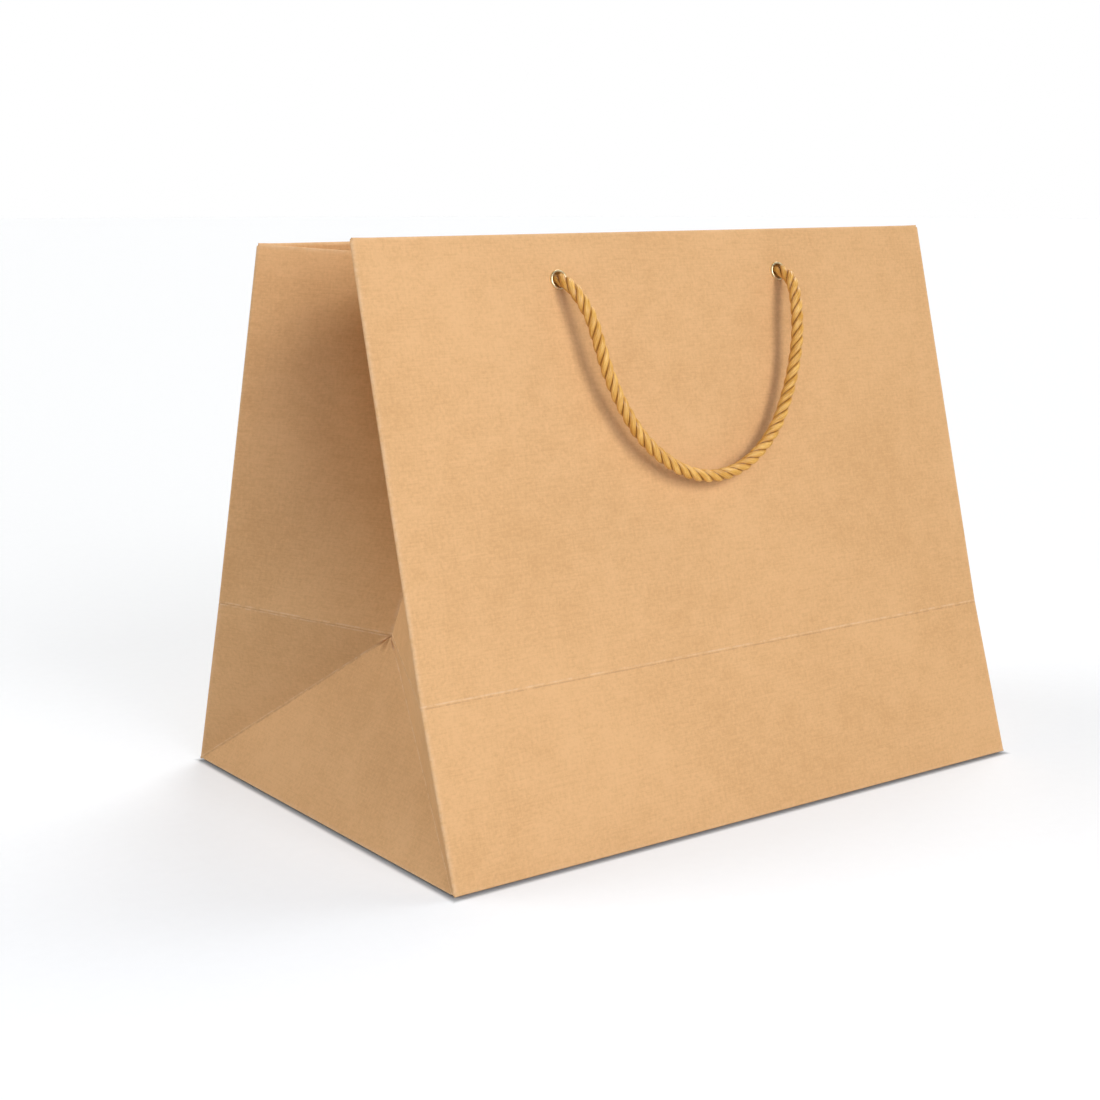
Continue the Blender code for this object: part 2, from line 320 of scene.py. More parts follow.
class Nodes:
    """A material's node tree, with short calls for the nodes that the finishes share."""

    def __init__(self, name: str) -> None:
        """Start a material with only a Principled shader and its output."""
        self.material = bpy.data.materials.new(name)
        self.material.use_nodes = True
        self.tree = self.material.node_tree
        self.shader = self.tree.nodes["Principled BSDF"]

    def add(self, kind: str, **settings: object) -> bpy.types.Node:
        """A node of a kind, with its properties set.

        Args:
            kind: Blender's name of the node type.
            settings: The node's properties.

        Returns:
            The node.
        """
        node = self.tree.nodes.new(kind)
        for name, value in settings.items():
            setattr(node, name, value)
        return node

    def join(self, source: object, target: object) -> None:
        """Link an output socket to an input socket, or set the input to a plain value."""
        if isinstance(source, bpy.types.NodeSocket):
            self.tree.links.new(source, target)
        else:
            target.default_value = source

    def math(self, operation: str, a: object, b: object = 0.0) -> object:
        """The result of a Math node.

        Args:
            operation: What the node does.
            a: Its first value or socket.
            b: Its second value or socket.

        Returns:
            The output socket.
        """
        node = self.add("ShaderNodeMath", operation=operation)
        self.join(a, node.inputs[0])
        self.join(b, node.inputs[1])
        return node.outputs[0]

    def ramp(self, value: object, low: float, high: float, to: float = 1.0) -> object:
        """A value stretched with a smooth start and end.

        Args:
            value: The socket that is stretched.
            low: The value that becomes 0.
            high: The value that becomes the last argument, above or below low.
            to: The result at high.

        Returns:
            The output socket.
        """
        node = self.add("ShaderNodeMapRange", interpolation_type="SMOOTHSTEP")
        self.join(value, node.inputs["Value"])
        node.inputs["From Min"].default_value = low
        node.inputs["From Max"].default_value = high
        node.inputs["To Max"].default_value = to
        return node.outputs["Result"]

    def place(self, scale: tuple[float, float, float], shift: float = 0.0) -> object:
        """The UV map, scaled and moved for a pattern.

        Args:
            scale: How many of the pattern's units there are in a unit of the map, each way.
            shift: How far the pattern is moved, so that two patterns don't repeat each other.

        Returns:
            The output socket.
        """
        node = self.add("ShaderNodeMapping")
        self.join(self.add("ShaderNodeUVMap", uv_map="surface").outputs[0], node.inputs["Vector"])
        node.inputs["Scale"].default_value = scale
        node.inputs["Location"].default_value = (shift, shift, 0.0)
        return node.outputs[0]

    def noise(self, vector: object, scale: float, detail: float, rough: float = 0.6) -> object:
        """The value of a Noise texture.

        Args:
            vector: Where the noise is read.
            scale: Its scale.
            detail: How many finer layers it has.
            rough: How strong the finer layers are.

        Returns:
            The output socket.
        """
        node = self.add("ShaderNodeTexNoise")
        self.join(vector, node.inputs["Vector"])
        node.inputs["Scale"].default_value = scale
        node.inputs["Detail"].default_value = detail
        node.inputs["Roughness"].default_value = rough
        return node.outputs["Fac"]

    def blend(self, factor: object, a: object, b: object) -> object:
        """Two colours mixed by a factor.

        Args:
            factor: How much of the second colour there is.
            a: The first colour.
            b: The second colour.

        Returns:
            The output socket.
        """
        node = self.add("ShaderNodeMix", data_type="RGBA")
        self.join(factor, node.inputs["Factor"])
        self.join(a, node.inputs[6])
        self.join(b, node.inputs[7])
        return node.outputs[2]

    def mark(self, name: str) -> object:
        """A value that the mesh carries for each point."""
        return self.add("ShaderNodeAttribute", attribute_name=name).outputs["Fac"]

    def bump(self, height: object, distance: float, strength: float = 1.0) -> None:
        """Raise the surface by a height times a distance.

        Args:
            height: The socket of the height.
            distance: What a height of 1 stands for, in metres.
            strength: How much of the bump shows.
        """
        node = self.add("ShaderNodeBump")
        node.inputs["Strength"].default_value = strength
        node.inputs["Distance"].default_value = distance
        self.join(height, node.inputs["Height"])
        self.join(node.outputs[0], self.shader.inputs["Normal"])


@dataclass(frozen=True)
class KraftPaper:
    """Brown kraft paper: mottled pulp, fine fibres both ways, flecks, worn folds, and painted shade in
    the scored creases' grooves.
    """

    name: str = "kraft_paper"
    light: Colour = (0.750, 0.438, 0.200, 1.0)
    dark: Colour = (0.630, 0.350, 0.146, 1.0)
    # Colour of the flecks, and also of the painted shade in the creases' grooves.
    fleck_and_groove_shade: Colour = (0.330, 0.170, 0.075, 1.0)
    worn: Colour = (0.830, 0.610, 0.400, 1.0)
    roughness: float = 0.82
    spread: float = 0.22
    ridge_at: float = 0.00035
    groove_at: float = 0.0005

    def make(self) -> bpy.types.Material:
        """Build the paper's material; patterns lie on the UV map, which is in metres."""
        n = Nodes(self.name)
        plain = n.place(PLAIN)
        cloud = n.noise(plain, 90.0, 6.0, 0.72)
        drift = n.noise(plain, 11.0, 2.0)
        pulp = n.noise(plain, 620.0, 6.0, 0.7)
        across = n.noise(n.place((90.0, 1500.0, 1.0)), 1.0, 4.0, 0.6)
        upward = n.noise(n.place((1500.0, 120.0, 1.0), shift=7.0), 1.0, 4.0, 0.6)
        fibres = n.math("ADD", n.math("MULTIPLY", across, 0.6), n.math("MULTIPLY", upward, 0.4))
        tone = n.math("ADD", n.math("MULTIPLY", cloud, 0.24), n.math("MULTIPLY", pulp, 0.42))
        tone = n.math("ADD", tone, n.math("MULTIPLY", fibres, 0.34))
        tone = n.math("ADD", tone, n.math("MULTIPLY", drift, 0.26))
        colour = n.blend(n.ramp(tone, 0.49, 0.74), self.dark, self.light)
        flecks = n.ramp(n.noise(n.place(PLAIN, shift=3.0), 1300.0, 2.0), 0.70, 0.80, 0.5)
        colour = n.blend(flecks, colour, self.fleck_and_groove_shade)

        broken = n.noise(n.place(PLAIN, shift=5.0), 260.0, 4.0, 0.7)
        score = n.mark("score_distance")
        off = n.math("ABSOLUTE", n.math("SUBTRACT", score, self.ridge_at))
        ridge = n.math("MULTIPLY", n.ramp(off, 0.00055, 0.0001), n.ramp(broken, 0.36, 0.62))
        # Painted shade: a thin, broken dark line in the fleck colour along the groove of each scored
        # crease and beside each diagonal fold of the gusset's foot.
        groove = n.math(
            "MULTIPLY",
            n.ramp(n.math("ABSOLUTE", n.math("ADD", score, self.groove_at)), 0.0005, 0.0001),
            n.ramp(broken, 0.66, 0.40),
        )
        edge = n.math("ABSOLUTE", n.mark("edge_distance"))
        rub = n.math("MULTIPLY", n.ramp(edge, 0.0024, 0.0002), n.ramp(broken, 0.30, 0.62))
        colour = n.blend(n.math("MULTIPLY", ridge, 0.42), colour, self.worn)
        colour = n.blend(n.math("MULTIPLY", groove, 0.34), colour, self.fleck_and_groove_shade)
        colour = n.blend(n.math("MULTIPLY", rub, 0.26), colour, self.worn)
        n.join(colour, n.shader.inputs["Base Color"])

        level = n.math("ADD", n.ramp(pulp, 0.2, 0.8, self.spread), self.roughness - self.spread / 2)
        n.join(level, n.shader.inputs["Roughness"])
        n.shader.inputs["Specular IOR Level"].default_value = 0.28
        height = n.math("ADD", n.math("MULTIPLY", pulp, 0.55), n.math("MULTIPLY", fibres, 0.45))
        height = n.math("ADD", height, n.math("MULTIPLY", cloud, 0.4))
        n.bump(height, 0.00018, 0.5)
        return n.material


@dataclass(frozen=True)
class GreyBoard:
    """Grey-brown board of pressed pulp, with coarse flecks."""

    name: str = "grey_board"
    light: Colour = (0.500, 0.410, 0.310, 1.0)
    dark: Colour = (0.330, 0.260, 0.190, 1.0)

    def make(self) -> bpy.types.Material:
        """Build the board's material on Object coordinates."""
        n = Nodes(self.name)
        place = n.add("ShaderNodeTexCoord").outputs["Object"]
        pulp = n.noise(place, 420.0, 6.0, 0.7)
        cloud = n.noise(place, 40.0, 3.0)
        tone = n.math("ADD", n.math("MULTIPLY", pulp, 0.7), n.math("MULTIPLY", cloud, 0.3))
        n.join(n.blend(n.ramp(tone, 0.35, 0.65), self.dark, self.light), n.shader.inputs["Base Color"])
        n.join(n.ramp(pulp, 0.2, 0.8, 0.95), n.shader.inputs["Roughness"])
        n.bump(pulp, 0.0003, 0.6)
        return n.material


@dataclass(frozen=True)
class Brass:
    """Pale polished brass with fine turning marks and a few dull spots."""

    name: str = "brass"
    bright: Colour = (0.860, 0.740, 0.470, 1.0)
    dull: Colour = (0.600, 0.450, 0.230, 1.0)

    def make(self) -> bpy.types.Material:
        """Build the brass on the UV map, which runs round the ring and across its section."""
        n = Nodes(self.name)
        marks = n.noise(n.place((60.0, 2500.0, 1.0)), 1.0, 3.0)
        cloud = n.noise(n.place(PLAIN, shift=2.0), 700.0, 4.0)
        n.join(n.blend(n.ramp(cloud, 0.45, 0.75), self.bright, self.dull), n.shader.inputs["Base Color"])
        n.shader.inputs["Metallic"].default_value = 1.0
        level = n.math("ADD", n.math("MULTIPLY", cloud, 0.22), 0.26)
        n.join(level, n.shader.inputs["Roughness"])
        n.bump(marks, 0.00001, 0.3)
        return n.material


@dataclass(frozen=True)
class SatinRope:
    """Gold satin yarn: fine filaments along each strand, and painted shade on the strands' sides and
    where they meet.
    """

    name: str = "gold_rope"
    light: Colour = (0.950, 0.560, 0.150, 1.0)
    mid: Colour = (0.640, 0.290, 0.035, 1.0)
    # low and deep are painted shade: the colours towards each strand's sides and in the grooves between
    # strands.
    low: Colour = (0.480, 0.190, 0.020, 1.0)
    deep: Colour = (0.230, 0.075, 0.006, 1.0)
    yarn_scale: float = 4.5

    def make(self) -> bpy.types.Material:
        """Build the rope on the UV map: turns round the strand by metres along it."""
        n = Nodes(self.name)
        filament = n.noise(n.place((34.0, 130.0, 1.0), shift=3.0), 1.0, 3.0, 0.6)
        yarn = n.add("ShaderNodeTexWave", wave_type="BANDS", bands_direction="X", wave_profile="SIN")
        n.join(n.place(PLAIN), yarn.inputs["Vector"])
        yarn.inputs["Scale"].default_value = self.yarn_scale
        yarn.inputs["Distortion"].default_value = 0.6
        yarn.inputs["Detail"].default_value = 2.0
        yarn.inputs["Detail Scale"].default_value = 1.5
        cloud = n.noise(n.place((2.0, 160.0, 1.0), shift=9.0), 1.0, 3.0)
        tone = n.math("ADD", n.math("MULTIPLY", filament, 0.7), n.math("MULTIPLY", cloud, 0.45))
        colour = n.blend(n.ramp(tone, 0.42, 0.74), self.mid, self.light)
        depth = n.mark("strand_depth")
        # Painted shade: darker as strand_depth falls, towards each strand's sides and deepest where the
        # strands meet.
        colour = n.blend(n.ramp(depth, 0.98, 0.72, 0.60), colour, self.low)
        colour = n.blend(n.ramp(depth, 0.80, 0.66), colour, self.deep)
        n.join(colour, n.shader.inputs["Base Color"])
        level = n.math("ADD", n.math("MULTIPLY", filament, 0.20), 0.24)
        n.join(level, n.shader.inputs["Roughness"])
        n.shader.inputs["Specular IOR Level"].default_value = 0.5
        n.shader.inputs["Sheen Weight"].default_value = 0.08
        n.shader.inputs["Sheen Roughness"].default_value = 0.4
        n.shader.inputs["Sheen Tint"].default_value = (1.0, 0.82, 0.5, 1.0)
        height = n.math(
            "ADD", n.math("MULTIPLY", yarn.outputs["Fac"], 0.5), n.math("MULTIPLY", filament, 0.7)
        )
        n.bump(height, 0.00022, 0.8)
        return n.material


@dataclass(frozen=True)
class Finishes:
    """The bag's four finishes, each made once."""

    kraft: bpy.types.Material
    board: bpy.types.Material
    brass: bpy.types.Material
    rope: bpy.types.Material


# ---------------------------------------------------------------- the folded sheet


@dataclass(frozen=True)
class BagShape:
    """The sizes of the folded bag that its pieces share."""

    half_width: float = 0.160
    depth: float = 0.222
    foot_lean: float = radians(17.4)
    apex_inset: float = 0.041
    apex_height: float = 0.0765
    valley_inset: float = 0.096
    valley_height: float = 0.238
    paper: float = 0.0005
    fold_radius: float = 0.0009
    base_radius: float = 0.0007
    hem_depth: float = 0.040
    hem_end_margin: float = 0.010
    stack: float = 0.0026
    eyelet_x: float = 0.0626
    eyelet_drop: float = 0.0200
    hole: float = 0.0037
    flap_overlap: float = 0.020
    base_margin: float = 0.0011


@dataclass
class WallPaper:
    """One wall's paper, from the bottom flap over the crease and the mouth to the hem inside.

    The wall is worked out as the front wall, and the back one is turned half round. A place on it
    is x along it, v up the paper from the bottom edge, and d into the bag from its outer face.
    """

    wall: Wall
    shape: BagShape
    height: float
    crease: float
    lean: float
    valley_y: float
    crease_ease: float = 0.0015
    spacing: float = 0.0024
    wave: float = 0.00035
    wrap_steps: int = 7
    table_step: float = 0.0002
    table_margin: float = 0.004
    flap_lift: float = 0.0008
    end_gap: float = 0.0006
    pressed: float = 0.58
    holes_above: float = 0.05
    hem_turn: float = 0.00055
    strip_width: float = 0.098
    fold_bow: float = 0.0016
    fold_ripple: float = 0.0003
    table: Array = field(init=False, repr=False)

    def __post_init__(self) -> None:
        """Work out the wall's line once: y and z are the sums of the sine and cosine of its lean."""
        v = np.arange(-self.table_margin, self.height + self.table_margin, self.table_step)
        lean = self.lean_at(v)
        start = int(np.argmin(np.abs(v)))
        y = np.cumsum(np.sin(lean)) * self.table_step
        z = np.cumsum(np.cos(lean)) * self.table_step
        self.table = np.stack((v, y - y[start] - self.shape.depth / 2, z - z[start]))

    def lean_at(self, v: Array) -> Array:
        """The lean at v: the foot's below the crease and the wall's above, eased between them."""
        ease = smooth_step((v - self.crease) / (2 * self.crease_ease) + 0.5)
        return self.shape.foot_lean + (self.lean - self.shape.foot_lean) * ease

    def turned(self, points: Array) -> Array:
        """Points of the front wall brought to this wall, by half a turn for the back one."""
        sign = 1.0 if self.wall is Wall.FRONT else -1.0
        return points * np.array([sign, sign, 1.0])

    def outer(self, x: Array, v: Array, d: Array) -> Array:
        """Places x along, v up and d into the bag, before the half turn.

        Args:
            x: Distance along the wall from its middle.
            v: Distance up the paper from the bottom edge.
            d: Distance into the bag from the outer face.

        Returns:
            The points.
        """
        v, d = np.broadcast_arrays(v, d)
        y = np.interp(v, self.table[0], self.table[1])
        z = np.interp(v, self.table[0], self.table[2])
        lean = self.lean_at(v)
        y, z = y + d * np.cos(lean), z - d * np.sin(lean)
        return np.stack(np.broadcast_arrays(x, y, z), axis=-1)

    def fold_target(self, v: Array) -> Array:
        """Where the gusset's line that starts at v on the corner ends: the apex or the valley.

        Below the crease every line ends at the apex. Above it the lines end on the valley, at the
        same share of the way up it.

        Args:
            v: Distances up the paper.

        Returns:
            A point for each, before the half turn.
        """
        s = self.shape
        apex = np.array([-s.half_width + s.apex_inset, 0.0, s.apex_height])
        valley = np.array([-s.half_width + s.valley_inset, self.valley_y, s.valley_height])
        share = np.clip((v - self.crease) / (self.height - self.crease), 0.0, 1.0)
        return apex + share[:, None] * (valley - apex)

    def wrap_angle(self, v: Array) -> Array:
        """How far the rounded corner turns at v before the gusset's line leaves it.

        The line to the target touches a circle of the fold's radius, so the turn is the target's
        own angle about the circle's centre less the angle whose cosine is radius over distance.

        Args:
            v: Distances up the paper.

        Returns:
            The turn at each, in radians.
        """
        radius = self.shape.fold_radius
        lean = self.lean_at(v)
        base = self.outer(np.full_like(v, -self.shape.half_width), v, np.zeros_like(v))
        away = self.fold_target(v) - base
        dx = away[:, 0] - radius
        dd = away[:, 1] * np.cos(lean) - away[:, 2] * np.sin(lean) - radius
        own = np.mod(np.arctan2(-dx, -dd), 2 * pi)
        return own - np.arccos(np.clip(radius / np.hypot(dx, dd), 0.0, 1.0))

    def corner_line(self, v: Array, past: float = 0.0) -> Array:
        """Where the rounded left corner ends and the gusset begins, for each v.

        Args:
            v: Distances up the paper.
            past: How far the line lies along the gusset from there.

        Returns:
            The points, before the half turn.
        """
        radius, angle = self.shape.fold_radius, self.wrap_angle(v)
        x = -self.shape.half_width + radius * (1 - np.sin(angle)) - past * np.cos(angle)
        d = radius * (1 - np.cos(angle)) + past * np.sin(angle)
        return self.outer(x, v, d)

    def rows(self) -> tuple[Array, Array, Array, Array, Array, Array]:
        """The sheet's rows from the flap's inner edge to the hem's.

        Returns:
            For each row: y, z, its half width, how much its ends wrap round the corners, the
            distance along the sheet, which is 0 at the bottom edge, and its depth behind the
            wall's outer face.
        """
        s = self.shape
        fold, rim = s.base_radius, s.stack / 2
        reach = fold * np.tan((pi / 2 + s.foot_lean) / 2)
        y = np.linspace(s.flap_overlap, -s.depth / 2 + reach, 40)[:-1]
        layer = 0.0 if self.wall is Wall.FRONT else self.flap_lift
        lift = layer * smooth_step((y + s.depth / 2 - 0.001) / 0.012)
        flap = np.stack((y, lift, np.full_like(y, -1.0), y * 0 - (y + s.depth / 2)))
        turn = np.linspace(0.0, pi / 2 + s.foot_lean, 8)[:-1]
        base = np.stack(
            (
                -s.depth / 2 + reach - fold * np.sin(turn),
                fold * (1 - np.cos(turn)),
                np.full_like(turn, -0.5),
                -reach + 2 * reach * turn / turn[-1],
            )
        )
        near = self.crease + np.array([-3, -2, -1.5, -1.1, -0.8, -0.5, -0.25, 0]) * 0.001
        far = 2 * self.crease - near[-2::-1]
        low = np.linspace(reach, near[0], int(near[0] / self.spacing))[:-1]
        top = self.height - rim
        high = np.linspace(far[-1], top, int((top - far[-1]) / self.spacing))[1:]
        v = np.concatenate((low, near, far, high))
        points = self.outer(0.0, v, 0.0)
        wall = np.stack((points[:, 1], points[:, 2], v * 0, v))
        bend = np.linspace(0.0, pi, 12)[1:]
        points = self.outer(0.0, top + rim * np.sin(bend), rim * (1 - np.cos(bend)))
        mouth = np.stack((points[:, 1], points[:, 2], bend * 0 + 1, top + rim * bend))
        down = np.linspace(0.0, s.hem_depth - rim, 16)[1:]
        points = self.outer(0.0, top - down, s.stack)
        hem = np.stack((points[:, 1], points[:, 2], down * 0 + 2, mouth[3, -1] + down))
        y, z, kind, along = np.concatenate((flap, base, wall, mouth, hem), axis=1)
        inner = s.half_width - s.base_margin
        half = np.where(kind < -0.7, inner - (y + s.depth / 2), s.half_width)
        drop = along - (mouth[3, -1] + 0.001)
        half = np.where(
            kind > 0.5,
            s.half_width - self.end_gap - (s.hem_end_margin - 0.001) * smooth_step(drop / 0.010),
            half,
        )
        wrap = np.where((kind > -0.2) & (kind < 0.5), 1.0, 0.0)
        wrap = np.where(kind > 0.5, np.clip(1 - (along - top) / (1.2 * rim), 0.0, 1.0), wrap)
        behind = np.concatenate((np.zeros(len(y) - len(bend) - len(down)), rim * (1 - np.cos(bend))))
        return y, z, half, wrap, along, np.concatenate((behind, down * 0 + s.stack))

    def waves(self, x: Array, v: Array) -> Array:
        """The paper's slight hollows and swells, none at its folds, its eyelets or its mouth.

        They are a sum of slow sine waves in x and v, times windows that close at those places.

        Args:
            x: Distances along the wall.
            v: Distances up the paper.

        Returns:
            How far each place lies into the bag.
        """
        s = self.shape
        turn = 0.7 if self.wall is Wall.FRONT else 2.1
        slow = (
            np.sin(31 * x + 17 * v + turn)
            + 0.7 * np.sin(-23 * x + 41 * v + 2.3 * turn)
            + 0.45 * np.sin(67 * x + 29 * v + 3.1 * turn)
            + 0.30 * np.sin(-88 * x + 71 * v + 1.3 * turn)
        )
        window = smooth_step((s.half_width - np.abs(x)) / 0.030)
        window = window * smooth_step(v / 0.020) * smooth_step((self.height - 0.042 - v) / 0.025)
        return self.wave * slow * window * smooth_step(np.abs(v - self.crease) / 0.020)

    def score_relief(self, v: Array, x: Array) -> Array:
        """The scored crease: a shallow groove with a low ridge on each side, weaker in places.

        Each is a bell curve of the distance from its own line, and the upper ridge is the higher.

        Args:
            v: Distances up the paper.
            x: Distances along the wall.

        Returns:
            How far each place lies into the bag.
        """
        off = v - self.crease
        weak = 0.75 + 0.25 * np.sin(140 * x + 1.1) * np.sin(53 * x)
        return weak * (
            0.00008 * np.exp(-((off / 0.0005) ** 2))
            - 0.00009 * np.exp(-(((off - 0.0012) / 0.0006) ** 2))
            - 0.00005 * np.exp(-(((off + 0.0012) / 0.0006) ** 2))
        )

    def make(self, kraft: bpy.types.Material) -> bpy.types.Object:
        """Build the wall's paper, with its corners wrapped and its eyelet holes open.

        Args:
            kraft: The paper's finish.

        Returns:
            The piece, whose lean changes at the crease.
        """
        s = self.shape
        y, z, half, wrap, along, behind = self.rows()
        radius = s.fold_radius
        count = int(2 * s.half_width / self.spacing) // 2 * 2 + 1
        edge = np.concatenate((np.linspace(-1, -0.97, 5)[:-1], np.linspace(-0.97, 0.97, count)))
        edge = np.concatenate((edge, np.linspace(0.97, 1, 5)[1:]))
        end = half[:, None] - radius
        x = edge[None, :] * end
        step = np.arange(1, self.wrap_steps + 1) / self.wrap_steps
        angle = np.zeros_like(along)
        angle[wrap > 0] = self.wrap_angle(np.minimum(along[wrap > 0], self.height))
        arc = angle[:, None] * step[None, :]
        share = wrap[:, None]
        past = share * radius * np.sin(arc) + (1 - share) * radius * 0.9 * step
        inward = share * radius * (1 - np.cos(arc))
        x = np.concatenate((-(end + past)[:, ::-1], x, end + past), axis=1)
        level = np.zeros((len(along), len(edge)))
        deep = np.concatenate((inward[:, ::-1], level, inward), axis=1)
        round_corner = end + np.maximum(arc * radius, 0.9 * radius * step)
        u = np.concatenate((-round_corner[:, ::-1], edge[None, :] * end, round_corner), axis=1)
        v = np.repeat(along[:, None], x.shape[1], axis=1)
        lean = self.lean_at(along)[:, None]
        flat = wrap[:, None] > 0.99
        relief = np.where(flat, self.waves(x, v) + self.score_relief(v, x), 0.0)
        pressed = 1 - smooth_step((s.half_width - np.abs(x)) / s.hem_end_margin)
        deep = deep + relief - self.pressed * pressed * behind[:, None]
        grid = np.stack(
            (x, y[:, None] + deep * np.cos(lean), z[:, None] - deep * np.sin(lean)), axis=-1
        )
        grid, keep = self.open_holes(grid, y, z, along)
        edge_off = np.minimum(np.abs(np.abs(u) - s.half_width), np.abs(v) + 0.0003)
        edge_off = np.minimum(edge_off, np.abs(v - (self.height + 0.0007)) * 0.9)
        score = np.repeat((along - self.crease)[:, None], x.shape[1], axis=1)
        piece = sheet_piece(
            f"{self.wall.label}_wall_paper",
            self.turned(grid),
            np.stack((u, v), axis=-1) + np.array([self.wall.turn, 0.0]),
            s.paper,
            kraft,
            {"score_distance": score, "edge_distance": edge_off},
            keep,
        )
        name = self.wall.label
        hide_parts(f"{name}_lower_panel", f"{name}_panel", f"{name}_hem", f"bottom_{name}_flap")
        ends = self.crease + np.array([-0.002, 0.002])
        line = self.turned(self.outer(0.0, ends, 0.0))
        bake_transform(piece)
        return piece

    def open_holes(self, grid: Array, y: Array, z: Array, along: Array) -> tuple[Array, Array]:
        """Open the eyelet holes in the panel and the hem behind it.

        A quad whose centre is inside a hole is left out, and the points of the holes' borders are
        moved along the paper onto the holes' circles.

        Args:
            grid: The sheet's points.
            y: The rows' distances across the bag; not used.
            z: The rows' heights; not used.
            along: The rows' distances along the sheet.

        Returns:
            The moved points, and which quads stay.
        """
        s = self.shape
        centre = self.outer(0.0, np.array([self.height - s.eyelet_drop]), 0.0)[0]
        rise = np.array([np.sin(self.lean), np.cos(self.lean)])
        up = (grid[..., 1] - centre[1]) * rise[0] + (grid[..., 2] - centre[2]) * rise[1]
        near = np.repeat((along > self.crease + self.holes_above)[:, None], grid.shape[1], axis=1)
        keep = np.ones((grid.shape[0] - 1, grid.shape[1] - 1), dtype=bool)
        for x in (-s.eyelet_x, s.eyelet_x):
            off = grid[..., 0] - x
            middle_x = 0.25 * (off[1:, 1:] + off[:-1, 1:] + off[1:, :-1] + off[:-1, :-1])
            middle_up = 0.25 * (up[1:, 1:] + up[:-1, 1:] + up[1:, :-1] + up[:-1, :-1])
            inside = (np.hypot(middle_x, middle_up) < s.hole) & near[1:, 1:]
            keep &= ~inside
            touched = np.zeros(grid.shape[:2], dtype=bool)
            for i in (0, 1):
                for j in (0, 1):
                    rows = slice(i, grid.shape[0] - 1 + i)
                    touched[rows, j : grid.shape[1] - 1 + j] |= inside
            reach = np.hypot(off, up)
            scale = np.where(touched, s.hole / np.maximum(reach, 1e-5) - 1, 0.0)
            grid[..., 0] += off * scale
            grid[..., 1] += up * scale * rise[0]
            grid[..., 2] += up * scale * rise[1]
        return grid, keep.ravel()

    def gusset_side(self, end: End) -> str:
        """The bag's end that the wall's own left or right belongs to."""
        sign = end.value if self.wall is Wall.FRONT else -end.value
        return End(sign).label

    def mirrored(self, points: Array, end: End) -> Array:
        """Points of the wall's left end brought to the given end of this wall."""
        return self.turned(points * np.array([-end.value, 1.0, 1.0]))

    def fold_surface(self, v: Array, across: Array) -> Array:
        """The gusset's outer face at the wall's left end: straight lines from corner to target.

        Args:
            v: The rows' distances up the paper.
            across: Shares of the way from the corner to the apex or the valley, 1 by columns by 1.

        Returns:
            The grid, before any mirroring.
        """
        start, stop = self.corner_line(v)[:, None, :], self.fold_target(v)[:, None, :]
        return start + (stop - start) * across

    def fold_normals(self, v: Array, across: Array) -> Array:
        """Unit normals of the gusset's face, into the bag: its run across times its rise.

        Args:
            v: The rows' distances up the paper.
            across: Shares of the way from the corner to the apex or the valley, 1 by columns by 1.

        Returns:
            A normal for each point of the grid.
        """
        step = 0.0001
        rise = self.fold_surface(v + step, across) - self.fold_surface(v - step, across)
        run = (self.fold_target(v) - self.corner_line(v))[:, None, :]
        return unit(np.cross(np.broadcast_to(run, rise.shape), rise))

    def make_fold(self, end: End, kraft: bpy.types.Material) -> bpy.types.Object:
        """Build the gusset's folded half beside this wall, with its own turned-in hem.

        Its rows are straight lines from the rounded corner to the valley, drawn in very slightly
        in the middle. At the mouth the rows turn over and run down inside.

        Args:
            end: The wall's own left or right end.
            kraft: The paper's finish.

        Returns:
            The piece, which runs from the valley to the wall.
        """
        s = self.shape
        rim = self.hem_turn
        near = self.crease + np.array([0.0, 0.3, 0.6, 1.0, 1.5, 2.2, 3.0]) * 0.001
        top = self.height - rim - 0.0002
        v = np.concatenate((near, np.linspace(near[-1], top, 74)[1:]))
        bend = np.linspace(0.0, pi, 8)[1:]
        down = np.linspace(0.0, s.hem_depth - 0.004, 14)[1:]
        rows = np.concatenate((v, top + rim * np.sin(bend), top - down))
        inward = np.concatenate((v * 0, rim * (1 - np.cos(bend)), down * 0 + 2 * rim))
        along = np.concatenate((v, top + rim * bend, top + rim * pi + down))
        across = np.concatenate((np.linspace(0, 0.03, 4)[:-1], np.linspace(0.03, 0.97, 40)))
        across = np.concatenate((across, np.linspace(0.97, 1.0, 4)[1:]))[None, :, None]
        grid = self.fold_surface(rows, across)
        share = across[..., 0]
        rise = ((rows - self.crease) / (self.height - self.crease))[:, None]
        bow = np.sin(pi * share) * np.sin(pi * np.clip(rise, 0, 1))
        ripple = np.sin(9 * share + 5 * rise) * np.sin(14 * rise + 1.5)
        off = rows[:, None] - self.crease
        score = -0.00012 * np.exp(-((off - 0.0011) ** 2) / 0.0005**2)
        deep = inward[:, None] + self.fold_bow * bow + self.fold_ripple * ripple * bow + score
        grid = grid + self.fold_normals(rows, across) * deep[..., None]
        length = np.linalg.norm(grid[:, -1] - grid[:, 0], axis=-1)[:, None]
        angle = self.wrap_angle(rows)[:, None]
        u = s.half_width - s.fold_radius + s.fold_radius * angle + share * length
        edge = np.minimum(np.abs(u - s.half_width), (1 - share) * length)
        edge = np.minimum(edge, np.abs(along - (top + rim * pi / 2))[:, None])
        marks = {
            "score_distance": np.broadcast_to(off - 0.0006, u.shape),
            "edge_distance": edge,
        }
        name = f"{self.gusset_side(end)}_{self.wall.label}_fold"
        uv = np.stack((end.value * u + self.wall.turn, along[:, None] + 0 * u), axis=-1)
        piece = sheet_piece(
            name,
            self.mirrored(grid, end),
            uv,
            s.paper,
            kraft,
            marks,
            flip=end is End.LEFT,
        )
        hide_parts(f"{self.gusset_side(end)}_gusset_{self.wall.label}_fold")
        corners = self.fold_target(np.array([self.crease, self.height]))
        line = self.corner_line(np.array([self.crease, self.height]), past=0.002)
